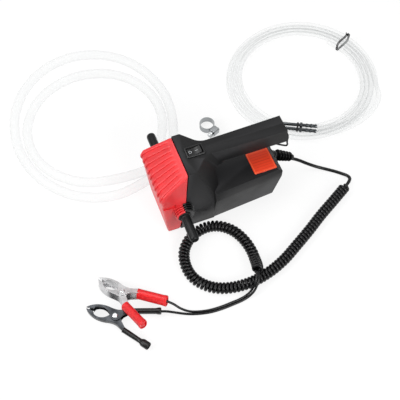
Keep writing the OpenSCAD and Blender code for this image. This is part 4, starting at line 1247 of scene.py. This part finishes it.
rocker_outline = [(-7.6, -1.2), (7.6, -1.2), (7.7, 2.7), (7.4, 3.05), (7.0, 3.1)]
for k in range(1, 12):
    share = 1 - k / 6
    rocker_outline.append((7.0 * share, 3.1 - 1.2 * (1 - share * share)))
rocker_outline += [(-7.0, 3.1), (-7.4, 3.05), (-7.7, 2.7)]
rocker_frame = at(SWITCH_X, 0, ROCKER_Z) @ Matrix.Rotation(-TILT, 4, "Y")
rocker_place = rocker_frame @ Matrix.Rotation(math.radians(90), 4, "X")
rocker_work = slab(rocker_outline, -4.5, 4.5)
rocker = mesh_object("switch_rocker_cap", rocker_work, rocker_place)
round_edges(rocker, 0.35, 30, 2)
settle(flat_shading(rocker), switch_abs, "rocker", ("switch_rocker",))


def rocker_mark(name, outline, point, closed):
    """A white line laid on the rocker; the outline is round the mark's middle."""
    middle = (rocker_frame.inverted() @ (place_on(POINTS[point], rocker)[0] / MM)).x
    points = []
    for along, across in outline:
        height = 3.1 - 1.2 * (1 - ((along + middle) / 7.0) ** 2) + 0.02
        points.append(rocker_frame @ Vector((along + middle, across, height)))
    mark = wire(name, points, 0.5, 2)
    mark.data.splines[0].use_cyclic_u = closed
    print(name, "stands", round(middle, 1), "mm from the rocker's middle")
    return settle(mark, white_print, "rocker")


ring_points = [(1.45 * math.cos(2 * math.pi * k / 28), 1.45 * math.sin(2 * math.pi * k / 28))
               for k in range(28)]
mark_o = rocker_mark("switch_mark_off", ring_points, "switch_o", True)
mark_i = rocker_mark("switch_mark_on", [(1.5 * t, 0) for t in (-1, -0.3, 0.3, 1)], "switch_i",
                     False)


# %% [markdown]
# **Strain relief.** The ribbed sleeve keeps the cable from kinking where it leaves the case:
# a flange against the wall, a neck, five fat soft rings and a thin end. It is turned about the
# cable's own axis, which leaves the rear wall downwards.

# %% Strain relief
RELIEF_AT = (73.2, 0, 42.7)
RELIEF_DROP = 35
relief_place = at(*RELIEF_AT) @ Matrix.Rotation(math.radians(90 + RELIEF_DROP), 4, "Y")
relief_profile = [(2.05, -4), (4.9, -4), (5.2, 0), (4.6, 6.4)]
for k in range(5):
    foot = 7.2 + 5.0 * k
    fat = 6.9 - 0.3 * k
    relief_profile += [(2.9, foot), (fat - 0.5, foot + 0.3), (fat, foot + 1.0),
                       (fat - 0.5, foot + 1.7), (2.9, foot + 2.0)]
relief_profile += [(3.2, 33), (2.9, 34), (2.1, 34)]
relief = mesh_object("ribbed_strain_relief", lathe(relief_profile, 36), relief_place, 60)
settle(relief, cord_pvc, nodes=("strain_relief",))
flange_place = at(71.6, 0, 43) @ Matrix.Rotation(math.radians(96.5), 4, "Y")
flange = mesh_object("relief_flange", lathe([(2.1, -5.2), (5.4, -5.2), (5.4, -3.6), (4, -3.4),
                                             (4, -0.2), (6.5, -0.1), (6.7, 0.3), (6.4, 1.4),
                                             (5.6, 1.9), (2.1, 1.9)], 36), flange_place, 60)
settle(flange, cord_pvc)
print("strain relief:", len(relief.data.polygons), "faces")


# %% [markdown]
# **Hanging hook.** A bent wire that swings out under the tail of the handle, so that the pump
# can hang from a bonnet's edge. It is one wire, so it is a curve through its bends.

# %% Hanging hook
HOOK_X, HOOK_Z, HOOK_HALF, HOOK_END = 70.0, 77.2, 8.0, 84.9
hook_route = [(HOOK_X, -HOOK_HALF + 4.5, HOOK_Z), (HOOK_X, -HOOK_HALF + 1.6, HOOK_Z),
              (HOOK_X + 0.5, -HOOK_HALF + 0.4, HOOK_Z - 0.4),
              (HOOK_X + 1.8, -HOOK_HALF, HOOK_Z - 1.5),
              (HOOK_X + 13.2, -HOOK_HALF, HOOK_Z - 10.4),
              (HOOK_X + 14.9, -HOOK_HALF, HOOK_Z - 11.1), (HOOK_X + 15.8, -HOOK_HALF, HOOK_Z - 9.8),
              (HOOK_END, -HOOK_HALF, 73), (HOOK_END, -HOOK_HALF, 82.2),
              (HOOK_END, -HOOK_HALF + 0.8, 84), (HOOK_END, -HOOK_HALF + 2.4, 84.8)]
hook_route += [(x, -y, z) for x, y, z in reversed(hook_route)]
settle(wire("hanging_hook", spline_through(hook_route, 0.7), 2.0, 3), wire_steel, "hook",
       ("hang_hook",))
print("hook: one wire through", len(hook_route), "bends")


# %% [markdown]
# **Battery clamps.** Each arm is bent from one sheet into a channel: two cheeks with toothed
# jaws and a web along the back. The inner arm swings in the outer one on a rivet, and a
# torsion spring shuts the jaws. Dipped vinyl sleeves cover the handles. The red clamp lies
# tilted across the black one's handle.

# %% Sheet-metal arms
JAW = 33.0
SHEET = 1.1
SPLAY = math.radians(17)
HANDLE_AT = Vector((-13, 11))
HANDLE_LEN = 32.0


def handle_point(along, side):
    """A place on a handle, along it and to its outer side."""
    return (HANDLE_AT.x - along * math.cos(SPLAY) + side * math.sin(SPLAY),
            HANDLE_AT.y + along * math.sin(SPLAY) + side * math.cos(SPLAY))


def back_edge(handle_w):
    """The outer edge of an arm from the jaw's tip to the handle's end."""
    points = [(JAW, 0.5), (31.8, 1.9), (29, 4), (25, 6.1), (20, 7.6), (15, 8.2), (10, 8.1),
              (5, 7.4), (0, 7.3), (-4, 8.2), (-8, 9.8 + handle_w * 0.1)]
    points = [(p.x, p.y) for p in spline_through([(x, y, 0) for x, y in points], 1.6)]
    return points + [handle_point(0, handle_w / 2), handle_point(HANDLE_LEN / 2, handle_w / 2),
                     handle_point(HANDLE_LEN, handle_w / 2)]


def front_edge(handle_w):
    """The inner edge of an arm from the handle's end to the toothed jaw."""
    points = [handle_point(HANDLE_LEN, -handle_w / 2), handle_point(2, -handle_w / 2)]
    curve = [(-8, 3), (-6.6, 0), (-5, -3.2), (-2.6, -4.8), (0, -5.1), (2.8, -4), (4.8, -2),
             (6.6, 0.5), (9.2, 3.2), (13, 5.2), (17, 5.8), (20.5, 5.2), (23.5, 3.9)]
    points += [(p.x, p.y) for p in spline_through([(x, y, 0) for x, y in curve], 1.4)]
    for k in range(5):
        x = 24.4 + 1.75 * k
        points += [(x, 2.4 - 0.5 * k), (x + 0.9, 0.35)]
    return points


def narrowed(x, taper):
    """The share of its width that an arm keeps at a place along it: handles are narrower."""
    share = min(1.0, max(0.0, (-5.0 - x) / 9.0))
    return 1.0 - (1.0 - taper) * share * share * (3 - 2 * share)


def merge(work, part):
    """Adds one bmesh to another; the part is used up."""
    mesh = bpy.data.meshes.new("part")
    part.to_mesh(mesh)
    part.free()
    work.from_mesh(mesh)
    bpy.data.meshes.remove(mesh)


def channel_arm(name, width, handle_w, side, place, taper):
    """A bent arm; side is 1 for the one whose handle lies to +Y and -1 for the other."""
    outer, inner = back_edge(handle_w), front_edge(handle_w)
    flip = Matrix.Scale(side, 4, Vector((0, 1, 0)))
    work = bmesh.new()
    for low in (-width / 2, width / 2 - SHEET):
        merge(work, slab(outer + inner, low, low + SHEET))
    web_line = [Vector(point) for point in outer[2:]]
    rings = []
    for k, spot in enumerate(web_line):
        way = web_line[min(k + 1, len(web_line) - 1)] - web_line[max(k - 1, 0)]
        inward = Vector((-way.y, way.x)).normalized()
        if inward.y > 0:
            inward = -inward
        under = spot + inward * SHEET
        half = width / 2 - 0.3
        rings.append([(spot.x, spot.y, -half), (spot.x, spot.y, half),
                      (under.x, under.y, half), (under.x, under.y, -half)])
    merge(work, skin(rings))
    for vert in work.verts:
        vert.co.z *= narrowed(vert.co.x, taper)
    obj = mesh_object(name, work, place @ flip)
    round_edges(obj, 0.22, 40, 2)
    return flat_shading(obj, 45)


# %% [markdown]
# A sleeve is drawn as rings along the handle, a rivet is turned, and a spring is a wire.

# %% Sleeves, rivets and springs
def sleeve(name, width, handle_w, mouth, grow, side, place, pinch=0.0):
    """A dipped sleeve over a handle; its end is flared by grow over the length given."""
    wall = 1.1
    rows = []
    length = HANDLE_LEN + 1.5
    steps = [(0.0, 0.35), (0.35, 0.08), (0.9, 0.0), (6, 0.0), (12, -pinch / 2),
             (length - mouth - 5, -pinch), (length - mouth - 2, -pinch * 0.8),
             (length - mouth, grow * 0.7), (length - mouth + 1.2, grow),
             (length - 1.0, grow), (length - 0.3, grow - 0.15), (length, grow - 0.5),
             (length, grow - 1.0), (length - 1.6, grow - 1.2)]
    for along, swell in steps:
        half_w, half_h = width / 2 + 0.1 + wall + swell, handle_w / 2 + 0.1 + wall + swell
        ring = []
        for across, up in round_rect(2 * half_w, 2 * half_h, min(half_w, half_h) * 0.93, 6):
            x, y = handle_point(along, up)
            ring.append((x, y, across))
        rows.append(ring)
    return mesh_object(name, skin(rows), place @ Matrix.Scale(side, 4, Vector((0, 1, 0))), 50)


def rivet(name, width, place):
    """A riveted pin with a domed head and a dimple on both sides."""
    top = width / 2 + 0.05
    profile = [(0, top + 0.75), (0.7, top + 0.8), (1.1, top + 1.05), (1.9, top + 1.0),
               (2.6, top + 0.75), (3.0, top + 0.25), (3.0, top), (1.8, top), (1.8, -top),
               (3.0, -top), (3.0, -top - 0.25), (2.6, -top - 0.75), (1.9, -top - 1.0),
               (1.1, -top - 1.05), (0.7, -top - 0.8), (0, -top - 0.75)]
    return mesh_object(name, lathe(profile, 32), place, 40)


def spring(name, turns, half, place):
    """A torsion spring round the rivet with a leg along each handle."""
    points = [(-9, 3.6, -half), (-5, 2.5, -half)]
    count = int(18 * turns)
    for k in range(count + 1):
        angle = math.pi - SPLAY - 0.1 + k / count * (2 * math.pi * turns + 2 * SPLAY + 0.2)
        points.append((3.1 * math.cos(angle), 3.1 * math.sin(angle), half * (2 * k / count - 1)))
    points += [(-4, -1.9, half), (-9, -5.8, half), (-14, -9.8, half)]
    return wire(name, [place @ Vector(p) for p in spline_through(points, 0.8)], 1.1, 2)


def clamp(word, place, width, handle_w, metal_skin, vinyl, turns, half, mouths, taper):
    """A whole battery clamp, with the pieces that ride on its swinging jaw."""
    inside = width - 2 * SHEET - 0.4
    jaw = word + "_jaw"
    made = [settle(channel_arm(word + "_outer_arm", width, handle_w, -1, place, taper),
                   metal_skin, nodes=(word + "_fixed_arm",)),
            settle(rivet(word + "_clamp_rivet", width, place), zinc_steel,
                   nodes=(word + "_rivet",)),
            settle(spring(word + "_clamp_spring", turns, half, place), tinned_steel,
                   nodes=(word + "_spring",)),
            settle(sleeve(word + "_outer_sleeve", width * taper, handle_w, *mouths[0], -1, place),
                   vinyl, nodes=(word + "_sleeve",))]
    settle(channel_arm(word + "_inner_arm", inside, handle_w, 1, place, taper), metal_skin, jaw,
           (word + "_moving_arm",))
    settle(sleeve(word + "_inner_sleeve", inside * taper, handle_w, *mouths[1], 1, place,
                  0.0 if word == "red" else 0.25), vinyl, jaw, (word + "_moving_sleeve",))
    return made


# %% [markdown]
# The black clamp lies flat and the red one leans on it. The arms and handles are narrower
# than the plain solids in the CAD, as the photograph has them.

# %% Place the two clamps
BLACK_AT = (-156.9, -111.3, 6.2)
RED_AT = (-142.4, -92.3, 13.7)
black_place = at(*BLACK_AT) @ Matrix.Rotation(math.radians(142.5), 4, "Z")
red_place = (at(*RED_AT) @ Matrix.Rotation(math.radians(126.3), 4, "Z")
             @ Matrix.Rotation(math.radians(10), 4, "Y")
             @ Matrix.Rotation(math.radians(19), 4, "X"))
black_clamp = clamp("black", black_place, 9.5, 3.3, blacked_steel, black_vinyl, 2, 1.7,
                    ((4, 0.6), (9, 1.3)), 0.55)
red_clamp = clamp("red", red_place, 12.0, 6.4, tinned_steel, red_vinyl, 3, 2.5,
                  ((3, 0.3), (3, 0.3)), 0.85)
print("clamp pieces:", len(black_clamp) + len(red_clamp) + 4)


# %% [markdown]
# **Hose clamp.** A stainless band with a row of pressed slots, a small bridge-shaped housing
# and a worm screw with a slotted hexagon head that rides in it.

# %% Hose clamp
CLIP_AT = (28, 93, 0.6)
CLIP_TURN = math.radians(-65)
BAND_R = 8.5
BAND_W = 8.0
clip_place = at(*CLIP_AT) @ Matrix.Rotation(CLIP_TURN, 4, "Z")


def band():
    """The closed band: it overlaps itself under the housing and its slots are pressed in."""
    steps = 120
    rings = []
    for k in range(steps + 1):
        angle = 2 * math.pi * k / steps
        dent = 0.3 if k % 2 else 0.0
        ring = []
        slot = (2, 2.3, BAND_W - 2.3, BAND_W - 2)
        for radius, z in ((0.0, 0), *[(0.0, height) for height in slot], (0.0, BAND_W),
                          (0.9, BAND_W), (0.9, slot[3]), (0.9 - dent, slot[2]),
                          (0.9 - dent, slot[1]), (0.9, slot[0]), (0.9, 0)):
            reach = BAND_R + radius
            ring.append((reach * math.cos(angle), reach * math.sin(angle), z))
        rings.append(ring)
    work = skin(rings, ends=False)
    bmesh.ops.remove_doubles(work, verts=work.verts, dist=1e-4)
    return work


settle(mesh_object("slotted_band", band(), clip_place, 30), stainless, nodes=("clamp_band",))

bridge_outline = [(9.6, -0.5), (16.4, -0.5), (17.2, 0.6), (17.3, 4), (17.2, 7.4), (16.4, 8.5),
                  (9.6, 8.5)]
bridge = mesh_object("worm_bridge", slab(bridge_outline, -4.5, 4.5),
                     clip_place @ Matrix.Rotation(math.radians(90), 4, "X"))
round_edges(bridge, 0.5, 25, 2)
cut(bridge, [rod("worm_bore", clip_place @ at(13.9, 12, 4) @ Matrix.Rotation(
    math.radians(90), 4, "X"), 2.7, 24)])
settle(flat_shading(bridge), stainless, nodes=("clamp_housing",))

worm_profile = [(0, -6.4), (1.8, -6.4)]
for k in range(7):
    z = -6.0 + 1.75 * k
    worm_profile += [(2.0, z), (2.6, z + 0.45), (2.6, z + 0.75), (2.0, z + 1.2)]
worm_profile += [(2.2, 6.5), (4.0, 6.5), (4.1, 6.8), (3.6, 7.0), (0, 7.0)]
worm_place = clip_place @ at(13.9, 0, 4) @ Matrix.Rotation(math.radians(90), 4, "X")
worm = mesh_object("worm_screw", lathe(worm_profile, 30), worm_place, 35)
settle(worm, zinc_steel, "worm", ("clamp_screw",))
hex_head = mesh_object("worm_hex_head", slab(hexagon(3.4), 7.0, 10.5), worm_place)
round_edges(hex_head, 0.3, 25, 2)
cut(hex_head, [mesh_object("slot", box((-5, -0.5, 9.3), (5, 0.5, 12)), worm_place)])
settle(flat_shading(hex_head), zinc_steel, "worm")
print("hose clamp: band", 2 * BAND_R, "mm across and", BAND_W, "mm wide")


# %% [markdown]
# **Coil tie.** A coated wire holds the thin hoses' coil and is twisted into two tails.

# %% Coil tie
TIE_ANGLE = 26
tie_place = at(COIL_AT[0], COIL_AT[1], 7.4) @ Matrix.Rotation(math.radians(TIE_ANGLE), 4, "Z")
tie_outline = round_rect(26.0, 15.2, 4.5, 6)
for index, shift in enumerate((-0.8, 0.8)):
    loop = [tie_place @ Vector((87.5 + x, shift, z)) for x, z in tie_outline]
    strand = wire("coil_tie_strand_" + str(index), loop, 1.3, 3)
    strand.data.splines[0].use_cyclic_u = True
    settle(strand, tie_wire, nodes=("coil_tie",) if index == 0 else ())
for index, lean in enumerate((-35, 35)):
    tail = []
    for k in range(13):
        turn = k * 0.9
        spread = 0.7 * max(0.0, 1 - k / 8)
        tail.append(tie_place @ at(93, 0, 7.2) @ Matrix.Rotation(
            math.radians(lean * min(1.0, k / 7)), 4, "Z") @ Vector(
            (k * 0.22 + spread * math.cos(turn), spread * math.sin(turn) * 0.6 + 0.5,
             0.5 + k * 0.28)))
    settle(wire("coil_tie_tail_" + str(index), tail, 1.3, 3), tie_wire)
print("coil tie at", TIE_ANGLE, "degrees round the coil")


# %% [markdown]
# **Connectors.** Each thin hose ends in a hose tail with barbs, a hexagon and a rubber ring.

# %% Connectors
CONNECTOR_PROFILE = [(0.9, 0), (2.0, 0), (2.5, 2), (2.5, 2.6), (2.0, 2.9), (2.0, 5),
                     (2.5, 7.4), (2.5, 8), (2.0, 8.3), (2.0, 10.4), (2.5, 12.8), (2.5, 13.4),
                     (2.0, 13.7), (2.0, 27), (2.0, 45.4), (1.7, 46), (1.2, 46), (1.2, 30),
                     (0.9, 30)]
CON_RING = [(2.05, 22.6), (2.9, 22.7), (3.2, 23.2), (3.2, 24.2), (2.9, 24.6), (2.05, 24.7)]
connector_pieces = []
for index, tail in enumerate((TAIL_A, TAIL_B)):
    way = math.atan2(tail[0][1] - tail[1][1], tail[0][0] - tail[1][0])
    place = at(*tail[0]) @ Matrix.Rotation(way, 4, "Z") @ to_x
    barb = mesh_object("hose_tail_" + str(index), lathe(CONNECTOR_PROFILE, 28), place, 45)
    settle(barb, nickel_brass, nodes=("connectors",) if index == 0 else ())
    nut = mesh_object("hose_tail_hexagon_" + str(index), slab(hexagon(3.4), 18, 21), place)
    round_edges(nut, 0.35, 25, 2)
    settle(flat_shading(nut), nickel_brass)
    seal = mesh_object("hose_tail_ring_" + str(index), lathe(CON_RING, 28), place, 70)
    settle(seal, nitrile, nodes=("connector_rings",) if index == 0 else ())
    connector_pieces += [barb, nut, seal]
print("connector pieces:", len(connector_pieces))


# %% [markdown]
# The thick hose's two cut ends lie behind the pump. Each gets a short lip with a bore, so
# that it reads as a tube.

# %% Cut ends of the hoses
def hose_end(name, ends, outer, bore, material):
    """A short lip with a bore on the cut end of a hose, so that it reads as a tube."""
    tip, before = Vector(ends[0]), Vector(ends[1])
    place = Matrix.Translation(tip) @ (tip - before).to_track_quat("Z", "Y").to_matrix().to_4x4()
    profile = [(bore, -3), (outer, -3), (outer, 0.05), (outer - 0.15, 0.2), (bore + 0.1, 0.2),
               (bore, 0.05)]
    return settle(mesh_object(name, lathe(profile, 32), place, 50), material)


end_a = hose_end("thick_hose_start", thick_points[:2], 6.05, 4.9, thick_pvc)
end_b = hose_end("thick_hose_finish", thick_points[:-3:-1], 6.05, 4.9, thick_pvc)


# %% [markdown]
# **Rating plate.** The vinyl has rounded corners and lies flat on the deck.

# %% Rating plate
plate_size = (PLATE_HIGH - PLATE_LOW) / MM
plate_middle = (PLATE_HIGH + PLATE_LOW) / 2 / MM
plate_rings = []
for shrink, z in ((0, DECK_Z), (0, DECK_Z + 0.28), (0.25, DECK_Z + 0.4)):
    plate_rings.append([(x + plate_middle.x, y + plate_middle.y, z) for x, y in
                        round_rect(plate_size.x - shrink, plate_size.y - shrink, 1.2)])
settle(mesh_object("rating_plate_vinyl", skin(plate_rings), degrees=30), plate_vinyl,
       nodes=("rating_plate",))


# %% [markdown]
# The parts inside keep their CAD shapes and only get finishes. The photograph shows none of
# them, so both shapes and finishes are guesses from what such pumps hold.

# %% Finishes of the parts inside and of the screws
INSIDE = {
    "case_screws": zinc_steel, "cap_screws": zinc_steel, "pump_body": pump_alloy,
    "pump_cover": pump_alloy, "cover_gasket": nitrile, "shaft_seal": nitrile,
    "drive_gear": sintered_iron, "driven_gear": sintered_iron, "driven_axle": zinc_steel,
    "motor_mount": pump_alloy, "motor_can": drawn_steel, "end_bell": black_abs,
    "magnets": magnet_ferrite, "armature": copper_wire, "commutator": copper_wire,
    "motor_shaft": zinc_steel, "brushes": carbon, "bushes": oiled_bronze,
    "switch_terminals": tinned_brass, "inner_wires": red_insulation,
}
for node, material in INSIDE.items():
    for slot in frame["nodes"][node].material_slots:
        slot.link = "OBJECT"
        slot.material = material
print("CAD nodes with a finish of their own:", len(INSIDE))


# %% [markdown]
# Last, the first point of the thick hose and of each thin hose is turned into metres. Each battery
# lead ends in a clamp and each thin hose in a connector; a cord's length is that of its route.

tuple(Vector(thick_route[0]) * MM)
for index, (hose, length, tail) in enumerate(zip(thin_hoses, thin_lengths, (TAIL_A, TAIL_B))):
    tuple(Vector(tail[0]) * MM)


# %% [markdown]
# Where the thing of each image point shows on the finished pieces is worked out, in pixels. A
# vertex shows if the ray from the camera to it meets nothing on its way. The script never stops
# on it.

# %% Find where the image points show
def showing(pieces, near=None, reach=0.0):
    """Pixels of the pieces' vertices that show, or of those within reach of a place (mm)."""
    graph = bpy.context.evaluated_depsgraph_get()
    eye_at = camera.matrix_world.translation
    spots = []
    for piece in pieces:
        shape = piece.evaluated_get(graph).to_mesh()
        for vert in shape.vertices:
            spot = piece.matrix_world @ vert.co
            if near is not None and (spot - Vector(near) * MM).length > reach * MM:
                continue
            way = spot - eye_at
            hit, touched, *_ = scene.ray_cast(graph, eye_at, way.normalized(),
                                              distance=way.length + 0.01)
            if not hit or (touched - eye_at).length > way.length - 0.4 * MM:
                spots.append(to_image(spot))
        piece.evaluated_get(graph).to_mesh_clear()
    return spots


def middle_of(spots):
    """The middle of the box round some pixels."""
    return tuple((min(spot[axis] for spot in spots) + max(spot[axis] for spot in spots)) / 2
                 for axis in (0, 1))


body_spots = showing([near_case, far_case, red_cap])
found = {"case_left_x": min(x for x, _ in body_spots), "case_right_x": max(x for x, _ in body_spots),
         "case_top_y": min(y for _, y in body_spots), "case_bottom_y": max(y for _, y in body_spots)}
pieces = bpy.data.objects
red_end = handle_point(HANDLE_LEN + 1.5, 0)
WATCHED = {
    "switch_o": ([mark_o], None, 0), "switch_i": ([mark_i], None, 0),
    "plate_middle": ([pieces["rating_plate_vinyl"]], None, 0),
    "near_spigot_tip": ([pieces["near_hose_spigot"]], (SPIGOT_X, -75, SPIGOT_Z), 5.5),
    "far_spigot_tip": ([pieces["far_hose_spigot"]], (SPIGOT_X, 75, SPIGOT_Z), 5.5),
    "black_rivet": ([pieces["black_clamp_rivet"]], None, 0),
    "red_sleeve_end": ([pieces["red_inner_sleeve"]], red_place @ Vector((*red_end, 0)), 6.5),
    "black_flare_end": ([pieces["black_inner_sleeve"]], black_place @ Vector(
        (*handle_point(HANDLE_LEN + 1.5, 0), 0)), 6),
    "hose_clamp_middle": ([pieces["slotted_band"]], None, 0),
    "vent_near": ([near_case], vent_ends[0][0] / MM, 2),
    "vent_far": ([near_case, far_case], vent_ends[1][0] / MM, 2),
    "tail_corner": ([far_case], (TAIL_X, GRIP_HALF + 1.5, CASE_H), 4),
    "housing_corner": ([near_case], (65.5, -30.5, 0), 6),
}
for name, (watched, near, reach) in WATCHED.items():
    spots = showing(watched, near, reach)
    found[name] = middle_of(spots) if spots else None
for name, point in POINTS.items():
    if found[name] is None:
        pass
    elif isinstance(point, tuple):
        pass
    else:
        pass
